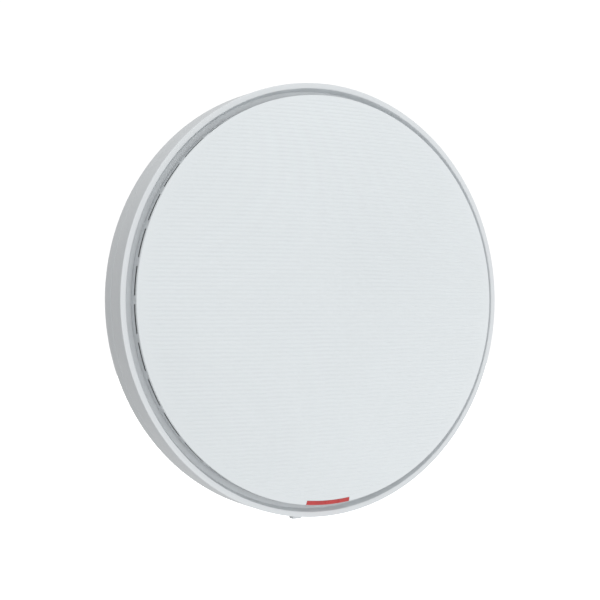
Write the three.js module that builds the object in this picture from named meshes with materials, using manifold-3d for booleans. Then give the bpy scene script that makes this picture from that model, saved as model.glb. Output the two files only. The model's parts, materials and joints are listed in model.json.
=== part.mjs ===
// Ceiling access point with its mounting bracket, in millimetres.
//
// The frame is that of a wall-hung unit: +Z is up, the ceiling or wall lies at y = 0 and the
// domed front faces -Y. Depths are measured forward from the ceiling face, so depth d is y = -d.
// The origin is the middle of the bracket's mounting face.

import * as THREE from 'three';
import { mergeVertices } from 'three/addons/utils/BufferGeometryUtils.js';
import Module from 'manifold-3d';

const wasm = await Module();
wasm.setup();

// ---- driving dimensions ----

const RING_SIDES = 60;
const HOLE_SIDES = 16;
const PIN_SIDES = 12;
const GAP = 0.3; // clearance between pieces that touch on the real object
const THROUGH = 1; // how far a cutting tool reaches past the face it cuts

const OUTER_RADIUS = 110;
const LIP_DEPTH = 33;
const LIP_INNER_RADIUS = 107.2;
const LIP_EDGE_ROUND = 0.6;
const PARTING_DEPTH = 20.8; // where the front bezel meets the rear housing
const WALL = 2.3;
const GROOVE_FLOOR_DEPTH = 29;
const GROOVE_OUTER_RADIUS = 106; // the lip's inner wall leans out from here to its edge
const BEZEL_FLOOR_THICKNESS = 2;
const BEZEL_FLOOR_INNER_RADIUS = 86.5;
const TONGUE_LENGTH = 3; // the bezel's skirt inside the rear housing
const TONGUE_THICKNESS = 1.9;

const COVER_RADIUS = 103.4;
const COVER_EDGE_DEPTH = 36.4;
const COVER_UNDERSIDE_DEPTH = 35.3;
const COVER_THICKNESS = 2.2;
const DOME_QUADRATIC = 7.2; // the dome rises by these two terms from its edge to its middle
const DOME_QUARTIC = 5.9;
const HOOK_COUNT = 6;
const HOOK_WIDTH = 10;
const HOOK_INNER_RADIUS = 97.6;
const HOOK_OUTER_RADIUS = 99.9;
const HOOK_BARB = 1.1;

const VENT_COUNT = 36;
const VENT_RING_INNER_RADIUS = 102.2;
const VENT_RING_OUTER_RADIUS = 103.2;
const VENT_SLOT_DEGREES = 7.7;
const VENT_SLOT_NEAR = 33.1;
const VENT_SLOT_FAR = 34.3;
const VENT_SCREEN_THICKNESS = 0.7;

const LENS_HALF_DEGREES = 7;
const LENS_INNER_RADIUS = 100.9;
const LENS_FOOT_HALF_WIDTH = 3.4;
const LENS_FOOT_INNER_RADIUS = 97.5;
const LENS_FOOT_THICKNESS = 0.9;

const HOUSING_REAR_DEPTH = 2;
const HOUSING_REAR_INNER_RADIUS = 100.3;
const HOUSING_FLANGE_INNER_RADIUS = 97;
const HOUSING_FLANGE_DEPTH = 5.1;
const HOUSING_FLANGE_THICKNESS = 2;
const HOUSING_TAPER_DEPTH = 13.6; // the straight side ends here and curves in to the rear
const HOUSING_TAPER = [[109.1, 10.4], [107.3, 7], [105.1, 4.3], [102.4, HOUSING_REAR_DEPTH]];
const HOUSING_SHOULDER_RADIUS = 103.4; // where the flange turns up into the tapered wall

const BASE_RADIUS = 100;
const BASE_REAR_DEPTH = 2.3;
const BASE_RIM_THICKNESS = 2.5;
const BASE_SPIGOT_RADIUS = 96.7;
const BASE_RELIEF_RADIUS = 94.5;
const POCKET_FLOOR_DEPTH = 6;
const BASE_FLOOR_THICKNESS = 2.2;
const BASE_RIM_INSIDE = BASE_REAR_DEPTH + BASE_RIM_THICKNESS;
const BASE_FLOOR_INSIDE = POCKET_FLOOR_DEPTH + BASE_FLOOR_THICKNESS;
const POCKET_RADIUS = 81;
const POCKET_WALL = 3;

const RECESS_HALF_WIDTH = 38; // the well that the cables come into
const RECESS_BOTTOM = 14;
const RECESS_TOP = 50;
const RECESS_FLOOR_DEPTH = 22;
const RECESS_WALL = 2;
const RECESS_FLANGE = 2.5;
const RECESS_FLANGE_THICKNESS = 1.5;
const PLUG_CLEARANCE = 3;

const BOARD_RADIUS = 84;
const BOARD_REAR_DEPTH = 24.5;
const BOARD_THICKNESS = 1.6;
const BOARD_SCREW_PLACES = [[72, 20], [-72, 20], [50, -60], [-50, -60]];
const BOARD_POST_RADIUS = 3.5;
const BOARD_SCREW = { headRadius: 2.8, headHeight: 2, shankRadius: 1.3, tip: 17, holeEnd: 16 };
const COMPONENT_TOP = BOARD_REAR_DEPTH - GAP; // parts under the board end here
const BOARD_FRONT_DEPTH = BOARD_REAR_DEPTH + BOARD_THICKNESS;
const LED_Z = -80;
const LED_SIZE = 3;
const LED_HEIGHT = 0.8;
const GUIDE_HALF_WIDTH = 3;
const GUIDE_ARM_THICKNESS = 4;
const GUIDE_TIP = -100.8;

const PEDESTAL_DEPTH = 20.9; // cast pedestals reach up to the hot chips
const PEDESTALS = [
  { name: 'processor', x: 0, z: -16, half: 14 },
  { name: 'radio_chip', x: -50, z: -16, half: 11 },
];

const SHIELD_THICKNESS = 0.5;
const SHIELD_HEIGHT = 2.6;
const SHIELDS = [
  { name: 'rf_shield_1', width: 56, height: 44, x: -28, z: -14 },
  { name: 'rf_shield_2', width: 48, height: 34, x: 36, z: 12 },
];
const REFLECTOR_RADIUS = 94;
const REFLECTOR_THICKNESS = 1;
const REFLECTOR_REAR_DEPTH = GROOVE_FLOOR_DEPTH + GAP;
const ANTENNA_COUNT = 6;
const ANTENNA_CIRCLE_RADIUS = 62;
const ANTENNA = {
  strip: 0.8, height: 8, halfWidth: 5, footLength: 8, riser: -2, armEnd: 16, feed: 7, feedHalfWidth: 1.5,
};

const CASE_SCREW_CIRCLE_RADIUS = 90.3;
const CASE_SCREW_ANGLES = [50, 130, 207, 333];
const CASE_SCREW_HEAD_RADIUS = 3;
const CASE_SCREW_SHANK_RADIUS = 1.4;
const CASE_BOSS_RADIUS = 3.4;
const CASE_SCREW_HEAD_NEAR = 2.4;
const CASE_SCREW_HEAD_FAR = 3.9;
const CASE_SCREW_TIP = 16;
const COUNTERBORE_DEPTH = 4.2;
const LABEL = { halfWidth: 22, bottom: 84.5, top: 95.5, thickness: 0.3 };

const SLIDE_TRAVEL = 10; // how far the unit slides up to leave the bracket's keyholes
const STUD_PLACES = [[46, 18], [-46, 18], [30, -44], [-30, -44]];
const STUD_HEAD_RADIUS = 4;
const STUD_SHANK_RADIUS = 2;
const STUD_HEAD_THICKNESS = 1.9;
const STUD_PLAY = 0.4; // between its head and the bracket's web
const STUD_TIP = 10;
const KEYHOLE_WIDE_RADIUS = 4.6;
const KEYHOLE_NARROW_RADIUS = 2.4;

const BRACKET_RADIUS = 79;
const BRACKET_THICKNESS = 1.5;
const BRACKET_STANDOFF = 4; // the web stands this far off the ceiling
const BRACKET_PAD_RADIUS = 12;
const BRACKET_FLANGE_INNER_RADIUS = 68;
const FIXING_CIRCLE_RADIUS = 73.5;
const FIXING_SLOT_WIDTH = 5.2;
const FIXING_SLOT_LENGTH = 9.4;
const CABLE_OPENING = { halfWidth: 34, bottom: 17.5, top: 49, corner: 5 };

const LOCK_TRAVEL = 5; // the lock slides this far towards -X
const LOCK_REAR_DEPTH = 2.2;
const LOCK_THICKNESS = 1.5;
const LOCK_HALF_WIDTH = 5;
const LOCK_NECK_HALF_WIDTH = 2.7;
const LOCK_TOP = -34;
const LOCK_SHOULDER = -60;
const LOCK_TIP = -115.5;
const LOCK_NOSE = { halfWidth: 2.5, bottom: -54, top: -50, frontDepth: 7.2 };
const LOCK_CLEARANCE = 0.5;
const LOCK_SIDE_CLEARANCE = 0.4;
const LOCK_END_THICKNESS = 1.8; // the tab's turned end, the part that shows under the rim
const LOCK_END_LIP = 1.2;
const LOCK_LAND = { halfWidth: 30, bottom: -100, top: -70 }; // the casting is left thick here
const HOUSING_CHANNEL = { bottom: -112, top: -96 };
const BASE_CHANNEL = { bottom: -102, top: -88 };
const LOCK_GUIDE = { bottom: -47, top: -37, near: 0.4, foot: 3.4, sideClearance: 0.6 };

const JACK_LENGTH = 21;
const JACK_WIDTH = 16;
const JACK_HEIGHT = 13.7;
const JACK_CENTRES = [-27, -9.5];
const JACK_MOUTH_HALF_WIDTH = 5.9;
const JACK_MOUTH_LENGTH = 13;
const JACK_LATCH_HALF_WIDTH = 3;
const JACK_MOUTH = { near: 3.6, boardWall: 2 }; // depths inside the shell
const JACK_LATCH = { near: 1.4, far: 4 };
const USB = { left: 0.8, right: 15.2, height: 7, length: 14 };
const USB_SIDE_WALL = 0.8;
const USB_FACE_WALL = 0.9;
const DC = { left: 18, right: 27, height: 11, length: 14 };
const DC_BORE_RADIUS = 3.1;
const DC_PIN_RADIUS = 1;
const DC_AXIS = 5; // from the far side of its body
const RESET_CENTRE = 32;
const RESET_DEPTH = 19.5;
const RESET_RADIUS = 1.6;
const RESET_CLEARANCE = 0.35;
const RESET_FLANGE_RADIUS = 2.8;
const RESET_FLANGE_THICKNESS = 0.8;
const RESET_SWITCH = { left: 29, right: 35, bottom: 57.7, top: 61.5, near: 16.5 };
const TRANSFORMER = { left: 43, right: 61, bottom: 36, top: 52, near: 12.5 };
const CAPACITOR = { radius: 4, footRadius: 4.3, footHeight: 1, height: 11 };
const CAPACITOR_PLACES = [[-50, 42], [-60, 30], [58, -8]];

// ---- materials ----

function material(color, roughness, metalness) {
  return new THREE.MeshStandardMaterial({ color, roughness, metalness });
}

const coverWhite = material(0xe2e6e8, 0.55, 0);
const housingWhite = material(0xd8dcde, 0.5, 0);
const indicatorRed = material(0xc34141, 0.35, 0);
const clearPlastic = material(0xdfe6ea, 0.15, 0);
const castMetal = material(0x8f9497, 0.55, 0.8);
const sheetSteel = material(0xb4b8ba, 0.45, 0.9);
const boardGreen = material(0x1f5a3a, 0.6, 0);
const chipBlack = material(0x1b1c1e, 0.5, 0);
const padBlue = material(0x7b9db4, 0.8, 0);
const tinPlate = material(0xc3c7c8, 0.3, 1);
const labelWhite = material(0xf0f0ee, 0.6, 0);
const lockWhite = material(0xd2d6d8, 0.5, 0);

// ---- solids ----

function closed(geometry) {
  const bare = geometry.clone();
  bare.deleteAttribute('normal');
  bare.deleteAttribute('uv');
  const merged = mergeVertices(bare);
  const corners = merged.getIndex().array;
  const kept = [];
  for (let i = 0; i < corners.length; i += 3) {
    const [a, b, c] = corners.slice(i, i + 3);
    if (a !== b && b !== c && c !== a) kept.push(a, b, c);
  }
  merged.setIndex(kept);
  return merged;
}

function toManifold(geometry) {
  const merged = closed(geometry);
  const mesh = new wasm.Mesh({
    numProp: 3,
    vertProperties: new Float32Array(merged.getAttribute('position').array),
    triVerts: new Uint32Array(merged.getIndex().array),
  });
  return new wasm.Manifold(mesh);
}

function toGeometry(manifold) {
  const mesh = manifold.getMesh();
  const geometry = new THREE.BufferGeometry();
  geometry.setAttribute('position', new THREE.BufferAttribute(mesh.vertProperties, 3));
  geometry.setIndex(new THREE.BufferAttribute(mesh.triVerts, 1));
  return geometry;
}

function join(...geometries) {
  const solids = geometries.map(toManifold);
  return toGeometry(solids.reduce((whole, solid) => whole.add(solid)));
}

function cut(geometry, ...tools) {
  const start = toManifold(geometry);
  return toGeometry(tools.map(toManifold).reduce((rest, tool) => rest.subtract(tool), start));
}

function common(geometry, other) {
  return toGeometry(toManifold(geometry).intersect(toManifold(other)));
}

// A body turned about the unit's axis, from its outline of [radius, depth] corners.
function turned(outline) {
  const points = outline.map(([radius, depth]) => new THREE.Vector2(radius, -depth));
  if (THREE.ShapeUtils.area(points) < 0) points.reverse();
  const onAxis = points.some((point) => point.x === 0);
  if (!onAxis) points.push(points[0].clone());
  return new THREE.LatheGeometry(startingOnAxis(points), RING_SIDES);
}

// A profile that touches the axis starts and ends there, so it is rolled round to do so.
function startingOnAxis(points) {
  const count = points.length;
  const first = points.findIndex((point, i) => point.x === 0 && points[(i + count - 1) % count].x === 0);
  return first < 0 ? points : points.slice(first).concat(points.slice(0, first));
}

function disc(radius, near, far, x = 0, z = 0, sides = HOLE_SIDES) {
  const geometry = new THREE.CylinderGeometry(radius, radius, far - near, sides);
  return geometry.translate(x, -(near + far) / 2, z);
}

function block(left, right, bottom, top, near, far) {
  const geometry = new THREE.BoxGeometry(right - left, far - near, top - bottom);
  return geometry.translate((left + right) / 2, -(near + far) / 2, (bottom + top) / 2);
}

// A round bar along Z.
function bar(radius, bottom, top, x, depth) {
  const geometry = new THREE.CylinderGeometry(radius, radius, top - bottom, PIN_SIDES);
  return geometry.rotateX(Math.PI / 2).translate(x, -depth, (bottom + top) / 2);
}

// An outline drawn in x and z, given thickness from one depth to another.
function plate(shape, near, far, curveSegments = 8) {
  const settings = { depth: far - near, bevelEnabled: false, curveSegments };
  return new THREE.ExtrudeGeometry(shape, settings).rotateX(Math.PI / 2).translate(0, -near, 0);
}

function roundedRectangle(left, right, bottom, top, corner) {
  const shape = new THREE.Shape();
  shape.moveTo(left + corner, bottom);
  shape.absarc(right - corner, bottom + corner, corner, -Math.PI / 2, 0);
  shape.absarc(right - corner, top - corner, corner, 0, Math.PI / 2);
  shape.absarc(left + corner, top - corner, corner, Math.PI / 2, Math.PI);
  shape.absarc(left + corner, bottom + corner, corner, Math.PI, 1.5 * Math.PI);
  return shape;
}

// A slot with round ends, upright, between two centres on the middle line.
function uprightSlot(radius, bottom, top) {
  const shape = new THREE.Shape();
  shape.absarc(0, top, radius, 0, Math.PI);
  shape.absarc(0, bottom, radius, Math.PI, 2 * Math.PI);
  return shape;
}

function onCircle(radius, degrees) {
  const angle = THREE.MathUtils.degToRad(degrees);
  return [radius * Math.cos(angle), radius * Math.sin(angle)];
}

// Turns a piece made at the right (+X) about the unit's axis, anticlockwise from the front.
function turnedTo(geometry, degrees) {
  return geometry.clone().rotateY(-THREE.MathUtils.degToRad(degrees));
}

function around(count, startDegrees) {
  return Array.from({ length: count }, (_, i) => startDegrees + (360 / count) * i);
}

// ---- front ----

function domeDepth(radius) {
  const ratio = radius / COVER_RADIUS;
  return COVER_EDGE_DEPTH + DOME_QUADRATIC * (1 - ratio ** 2) + DOME_QUARTIC * (1 - ratio ** 4);
}

const DOME_RADII = [0, 24, 45, 62, 76, 87, 95, 99.5, 102.6];
const DOME_INNER_RADII = [98.9, 88, 64, 36, 0];
const COVER_EDGE = [[COVER_RADIUS, COVER_EDGE_DEPTH - 0.1], [COVER_RADIUS, COVER_UNDERSIDE_DEPTH]];

function domeOutline(radii, offset) {
  return radii.map((radius) => [radius, domeDepth(radius) - offset]);
}

function domeSolid() {
  return turned([...domeOutline(DOME_RADII, 0), ...COVER_EDGE, [0, COVER_UNDERSIDE_DEPTH]]);
}

function snapHook() {
  const barbDepth = GROOVE_FLOOR_DEPTH - BEZEL_FLOOR_THICKNESS - GAP;
  const half = HOOK_WIDTH / 2;
  const tip = barbDepth - HOOK_BARB;
  const root = COVER_UNDERSIDE_DEPTH + 1.3;
  const arm = block(HOOK_INNER_RADIUS, HOOK_OUTER_RADIUS, -half, half, tip, root);
  const barb = block(HOOK_INNER_RADIUS, HOOK_OUTER_RADIUS + 1, -half, half, tip, barbDepth);
  return join(arm, barb);
}

function lensWedge(innerRadius, outerRadius, halfDegrees) {
  const near = COVER_UNDERSIDE_DEPTH - 1.3;
  const far = COVER_EDGE_DEPTH + 3.6;
  const half = THREE.MathUtils.degToRad(halfDegrees);
  const shape = new THREE.Shape();
  shape.absarc(0, 0, outerRadius, -Math.PI / 2 - half, -Math.PI / 2 + half);
  shape.absarc(0, 0, innerRadius, -Math.PI / 2 + half, -Math.PI / 2 - half, true);
  return plate(shape, near, far);
}

function frontCover() {
  const shell = turned([
    ...domeOutline(DOME_RADII, 0),
    ...COVER_EDGE,
    [HOOK_OUTER_RADIUS, COVER_UNDERSIDE_DEPTH],
    ...domeOutline(DOME_INNER_RADII, COVER_THICKNESS),
  ]);
  const hooks = around(HOOK_COUNT, 0).map((degrees) => turnedTo(snapHook(), degrees));
  const seatHalf = LENS_HALF_DEGREES + 0.2;
  const lensSeat = lensWedge(LENS_INNER_RADIUS - GAP, COVER_RADIUS + THROUGH, seatHalf);
  const footWidth = LENS_FOOT_HALF_WIDTH + GAP;
  const footSeat = block(
    -footWidth, footWidth, -LENS_INNER_RADIUS - THROUGH, -LENS_FOOT_INNER_RADIUS + GAP,
    COVER_UNDERSIDE_DEPTH - THROUGH, COVER_UNDERSIDE_DEPTH + LENS_FOOT_THICKNESS + GAP,
  );
  return cut(join(shell, ...hooks), lensSeat, footSeat);
}

function indicatorLens() {
  const wedge = lensWedge(LENS_INNER_RADIUS, COVER_RADIUS + THROUGH, LENS_HALF_DEGREES);
  const foot = block(
    -LENS_FOOT_HALF_WIDTH, LENS_FOOT_HALF_WIDTH, -LENS_INNER_RADIUS - GAP, -LENS_FOOT_INNER_RADIUS,
    COVER_UNDERSIDE_DEPTH, COVER_UNDERSIDE_DEPTH + LENS_FOOT_THICKNESS,
  );
  return join(common(domeSolid(), wedge), foot);
}

// Carries the status light from the board out to the lens.
function lightGuide() {
  const top = COVER_UNDERSIDE_DEPTH - GAP;
  const half = GUIDE_HALF_WIDTH;
  const ledLevel = BOARD_FRONT_DEPTH + LED_HEIGHT + 2 * GAP;
  const leg = block(-half, half, LED_Z - half, LED_Z + 2, ledLevel, top);
  const arm = block(-half, half, GUIDE_TIP, LED_Z - 2, top - GUIDE_ARM_THICKNESS, top);
  return join(leg, arm);
}

// A thin wall under the cover's edge, pierced by the vent slots.
function ventRing() {
  const ring = turned([
    [VENT_RING_INNER_RADIUS, GROOVE_FLOOR_DEPTH + GAP],
    [VENT_RING_OUTER_RADIUS, GROOVE_FLOOR_DEPTH + GAP],
    [VENT_RING_OUTER_RADIUS, COVER_UNDERSIDE_DEPTH - GAP],
    [VENT_RING_INNER_RADIUS, COVER_UNDERSIDE_DEPTH - GAP],
  ]);
  const half = VENT_RING_OUTER_RADIUS * Math.sin(THREE.MathUtils.degToRad(VENT_SLOT_DEGREES / 2));
  const slot = block(
    VENT_RING_INNER_RADIUS - 2, VENT_RING_OUTER_RADIUS + 2, -half, half,
    VENT_SLOT_NEAR, VENT_SLOT_FAR,
  );
  const pitch = 360 / VENT_COUNT;
  return cut(ring, ...around(VENT_COUNT, pitch / 2).map((degrees) => turnedTo(slot, degrees)));
}

// A black mesh strip behind the vent slots, which keeps dust out and hides the inside.
function ventScreen() {
  const outer = VENT_RING_INNER_RADIUS - GAP;
  const inner = outer - VENT_SCREEN_THICKNESS;
  const near = GROOVE_FLOOR_DEPTH + GAP;
  const far = COVER_UNDERSIDE_DEPTH - GAP;
  return turned([[inner, near], [outer, near], [outer, far], [inner, far]]);
}

// ---- casing ----

function frontBezel() {
  const floorRear = GROOVE_FLOOR_DEPTH - BEZEL_FLOOR_THICKNESS;
  const tongueOuter = OUTER_RADIUS - WALL - GAP;
  const tongueInner = tongueOuter - TONGUE_THICKNESS;
  const tongueEnd = PARTING_DEPTH - TONGUE_LENGTH;
  const ring = turned([
    [OUTER_RADIUS, PARTING_DEPTH],
    [OUTER_RADIUS, LIP_DEPTH - LIP_EDGE_ROUND],
    [OUTER_RADIUS - LIP_EDGE_ROUND * 0.3, LIP_DEPTH - LIP_EDGE_ROUND * 0.3],
    [OUTER_RADIUS - LIP_EDGE_ROUND, LIP_DEPTH],
    [LIP_INNER_RADIUS, LIP_DEPTH],
    [GROOVE_OUTER_RADIUS, GROOVE_FLOOR_DEPTH],
    [BEZEL_FLOOR_INNER_RADIUS, GROOVE_FLOOR_DEPTH],
    [BEZEL_FLOOR_INNER_RADIUS, floorRear],
    [tongueInner, floorRear],
    [tongueInner, tongueEnd],
    [tongueOuter, tongueEnd],
    [tongueOuter, PARTING_DEPTH],
  ]);
  const bossEnd = BASE_FLOOR_INSIDE + GAP;
  const bosses = [];
  const holes = [];
  for (const degrees of CASE_SCREW_ANGLES) {
    const [x, z] = onCircle(CASE_SCREW_CIRCLE_RADIUS, degrees);
    bosses.push(disc(CASE_BOSS_RADIUS, bossEnd, floorRear + 1, x, z, PIN_SIDES));
    holes.push(disc(CASE_SCREW_SHANK_RADIUS + GAP, bossEnd - THROUGH, CASE_SCREW_TIP + 1, x, z, PIN_SIDES));
  }
  const windowHalf = HOOK_WIDTH / 2 + 0.5;
  const window = block(
    HOOK_INNER_RADIUS - 0.4, HOOK_OUTER_RADIUS + 0.4, -windowHalf, windowHalf,
    floorRear - THROUGH, GROOVE_FLOOR_DEPTH + THROUGH,
  );
  const windows = around(HOOK_COUNT, 0).map((degrees) => turnedTo(window, degrees));
  return cut(join(ring, ...bosses), ...holes, ...windows);
}

// The path that the lock's neck takes out through the rear rim, as wide as its travel.
function lockChannel({ bottom, top }) {
  const reach = LOCK_NECK_HALF_WIDTH + LOCK_CLEARANCE;
  const front = LOCK_REAR_DEPTH + LOCK_THICKNESS + 2 * GAP;
  return block(-reach - LOCK_TRAVEL, reach, bottom, top, HOUSING_REAR_DEPTH - THROUGH, front);
}

function rearHousing() {
  const outer = OUTER_RADIUS - 0.05;
  const inner = OUTER_RADIUS - WALL;
  const ring = turned([
    [outer, PARTING_DEPTH - GAP],
    [outer, HOUSING_TAPER_DEPTH],
    ...HOUSING_TAPER,
    [HOUSING_REAR_INNER_RADIUS, HOUSING_REAR_DEPTH],
    [HOUSING_REAR_INNER_RADIUS, HOUSING_FLANGE_DEPTH],
    [HOUSING_FLANGE_INNER_RADIUS, HOUSING_FLANGE_DEPTH],
    [HOUSING_FLANGE_INNER_RADIUS, HOUSING_FLANGE_DEPTH + HOUSING_FLANGE_THICKNESS],
    [HOUSING_SHOULDER_RADIUS, HOUSING_FLANGE_DEPTH + HOUSING_FLANGE_THICKNESS],
    [inner, HOUSING_TAPER_DEPTH],
    [inner, PARTING_DEPTH - GAP],
  ]);
  return cut(ring, lockChannel(HOUSING_CHANNEL));
}

// ---- die-cast base ----

function pocket(radius, near, far) {
  return plate(uprightSlot(radius, -SLIDE_TRAVEL - 0.5, 0), near, far, 36);
}

function baseTub() {
  const body = join(
    disc(BASE_RADIUS, BASE_REAR_DEPTH, BASE_RIM_INSIDE, 0, 0, RING_SIDES),
    disc(BASE_SPIGOT_RADIUS, BASE_RIM_INSIDE - 0.5, BASE_FLOOR_INSIDE, 0, 0, RING_SIDES),
  );
  const relief = cut(
    disc(BASE_RELIEF_RADIUS, BASE_RIM_INSIDE, BASE_FLOOR_INSIDE + THROUGH, 0, 0, RING_SIDES),
    pocket(POCKET_RADIUS + POCKET_WALL, BASE_RIM_INSIDE - THROUGH, BASE_FLOOR_INSIDE + 2 * THROUGH),
    block(
      -LOCK_LAND.halfWidth, LOCK_LAND.halfWidth, LOCK_LAND.bottom, LOCK_LAND.top,
      BASE_RIM_INSIDE - THROUGH, BASE_FLOOR_INSIDE + 2 * THROUGH,
    ),
  );
  return cut(body, relief, pocket(POCKET_RADIUS, BASE_REAR_DEPTH - THROUGH, POCKET_FLOOR_DEPTH));
}

function basePosts() {
  const posts = BOARD_SCREW_PLACES.map(([x, z]) =>
    disc(BOARD_POST_RADIUS, BASE_FLOOR_INSIDE - 1, COMPONENT_TOP, x, z, PIN_SIDES));
  const seats = CASE_SCREW_ANGLES.map((degrees) => {
    const [x, z] = onCircle(CASE_SCREW_CIRCLE_RADIUS, degrees);
    return disc(CASE_BOSS_RADIUS + 1, BASE_RIM_INSIDE - 1, BASE_FLOOR_INSIDE, x, z, PIN_SIDES);
  });
  const pedestals = PEDESTALS.map(({ x, z, half }) =>
    block(x - half, x + half, z - half, z + half, BASE_FLOOR_INSIDE - 1, PEDESTAL_DEPTH));
  return [...posts, ...seats, ...pedestals];
}

function baseHoles() {
  const boardHoles = BOARD_SCREW_PLACES.map(([x, z]) =>
    disc(BOARD_SCREW.shankRadius + GAP, BOARD_SCREW.holeEnd, BOARD_FRONT_DEPTH, x, z, PIN_SIDES));
  const studHoles = STUD_PLACES.map(([x, z]) =>
    disc(STUD_SHANK_RADIUS + GAP, POCKET_FLOOR_DEPTH - 1, BASE_FLOOR_INSIDE + 1, x, z, PIN_SIDES));
  const caseHoles = CASE_SCREW_ANGLES.flatMap((degrees) => {
    const [x, z] = onCircle(CASE_SCREW_CIRCLE_RADIUS, degrees);
    return [
      disc(CASE_SCREW_SHANK_RADIUS + GAP, BASE_REAR_DEPTH - 1, BASE_FLOOR_INSIDE + 1, x, z, PIN_SIDES),
      disc(CASE_SCREW_HEAD_RADIUS + GAP, BASE_REAR_DEPTH - 1, COUNTERBORE_DEPTH, x, z, PIN_SIDES),
    ];
  });
  return [...boardHoles, ...studHoles, ...caseHoles];
}

// The lock's nose stands in this recess. To the left a tooth is left standing in it: with the nose
// slid over the tooth the unit can't lift, and with the nose clear of it the unit can.
function lockRecess() {
  const half = LOCK_NOSE.halfWidth + LOCK_SIDE_CLEARANCE;
  const front = LOCK_NOSE.frontDepth + GAP;
  const top = LOCK_NOSE.top + LOCK_CLEARANCE;
  const bottom = LOCK_NOSE.bottom - LOCK_CLEARANCE;
  const recess = block(
    -half - LOCK_TRAVEL, half, bottom - SLIDE_TRAVEL, top, POCKET_FLOOR_DEPTH - THROUGH, front,
  );
  const tooth = block(
    -half - LOCK_TRAVEL - THROUGH, -half, top - SLIDE_TRAVEL, bottom,
    POCKET_FLOOR_DEPTH - 2 * THROUGH, front + THROUGH,
  );
  return cut(recess, tooth);
}

// The moulded well that the cables come into. It stands in the casting's opening, its flange inside.
function portWell() {
  const wall = RECESS_WALL;
  const halfWidth = RECESS_HALF_WIDTH + wall;
  const bottom = RECESS_BOTTOM - wall;
  const top = RECESS_TOP + wall;
  const flangeNear = BASE_FLOOR_INSIDE + GAP;
  const body = block(-halfWidth, halfWidth, bottom, top, POCKET_FLOOR_DEPTH, RECESS_FLOOR_DEPTH + wall);
  const flange = block(
    -halfWidth - RECESS_FLANGE, halfWidth + RECESS_FLANGE, bottom - RECESS_FLANGE, top + RECESS_FLANGE,
    flangeNear, flangeNear + RECESS_FLANGE_THICKNESS,
  );
  const hollow = block(
    -RECESS_HALF_WIDTH, RECESS_HALF_WIDTH, RECESS_BOTTOM, RECESS_TOP,
    POCKET_FLOOR_DEPTH - THROUGH, RECESS_FLOOR_DEPTH,
  );
  return cut(join(body, flange), hollow, ...socketCutOuts());
}

// Cut-outs in the well's upper wall for the sockets and the reset button. Those for the sockets run
// on into the floor of the well, to clear the plugs.
function socketCutOuts() {
  const bottom = RECESS_TOP - PLUG_CLEARANCE;
  const top = RECESS_TOP + RECESS_WALL + THROUGH;
  const far = COMPONENT_TOP + THROUGH;
  const wells = JACK_CENTRES.map((x) => [x - JACK_WIDTH / 2, x + JACK_WIDTH / 2, JACK_HEIGHT]);
  wells.push([USB.left, USB.right, USB.height], [DC.left, DC.right, DC.height]);
  const openings = wells.map(([left, right, height]) =>
    block(left - GAP, right + GAP, bottom, top, COMPONENT_TOP - height - GAP, far));
  const resetHole = bar(RESET_RADIUS + RESET_CLEARANCE, RECESS_TOP - THROUGH, top, RESET_CENTRE, RESET_DEPTH);
  return [...openings, resetHole];
}

function baseCasting() {
  const clear = RECESS_WALL + GAP;
  const wellOpening = block(
    -RECESS_HALF_WIDTH - clear, RECESS_HALF_WIDTH + clear, RECESS_BOTTOM - clear, RECESS_TOP + clear,
    POCKET_FLOOR_DEPTH - THROUGH, BASE_FLOOR_INSIDE + THROUGH,
  );
  const solid = join(baseTub(), ...basePosts());
  return cut(solid, wellOpening, ...baseHoles(), lockRecess(), lockChannel(BASE_CHANNEL));
}

// Stuck on the casting's rear face, above the bracket.
function ratingLabel() {
  const { halfWidth, bottom, top, thickness } = LABEL;
  const far = BASE_REAR_DEPTH - GAP / 3;
  return block(-halfWidth, halfWidth, bottom, top, far - thickness, far);
}

// ---- electronics ----

function mainBoard() {
  const board = disc(BOARD_RADIUS, BOARD_REAR_DEPTH, BOARD_FRONT_DEPTH, 0, 0, RING_SIDES);
  const radius = BOARD_SCREW.shankRadius + 0.4;
  const near = BOARD_REAR_DEPTH - THROUGH;
  const far = BOARD_FRONT_DEPTH + THROUGH;
  return cut(board, ...BOARD_SCREW_PLACES.map(([x, z]) => disc(radius, near, far, x, z, PIN_SIDES)));
}

function shieldCan(width, height) {
  const near = BOARD_FRONT_DEPTH + GAP;
  const far = near + SHIELD_HEIGHT;
  const w = width / 2;
  const h = height / 2;
  const t = SHIELD_THICKNESS;
  return cut(block(-w, w, -h, h, near, far), block(t - w, w - t, t - h, h - t, near - THROUGH, far - t));
}

function reflectorPlate() {
  const near = REFLECTOR_REAR_DEPTH;
  const sheet = disc(REFLECTOR_RADIUS, near, near + REFLECTOR_THICKNESS, 0, 0, RING_SIDES);
  return cut(sheet, block(-4.5, 4.5, -100, -75, near - THROUGH, near + 2 * THROUGH));
}

// A bent strip: a foot on the reflector, a riser, a radiating arm above it and a narrow feed leg.
function antenna() {
  const { strip, height, halfWidth, footLength, riser, armEnd, feed, feedHalfWidth } = ANTENNA;
  const near = REFLECTOR_REAR_DEPTH + REFLECTOR_THICKNESS + GAP;
  const top = near + height;
  return join(
    block(riser - footLength, riser, -halfWidth, halfWidth, near, near + strip),
    block(riser - strip, riser, -halfWidth, halfWidth, near, top),
    block(riser - strip, armEnd, -halfWidth, halfWidth, top - strip, top),
    block(feed, feed + strip, -feedHalfWidth, feedHalfWidth, near, top - strip / 2),
  );
}

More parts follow.
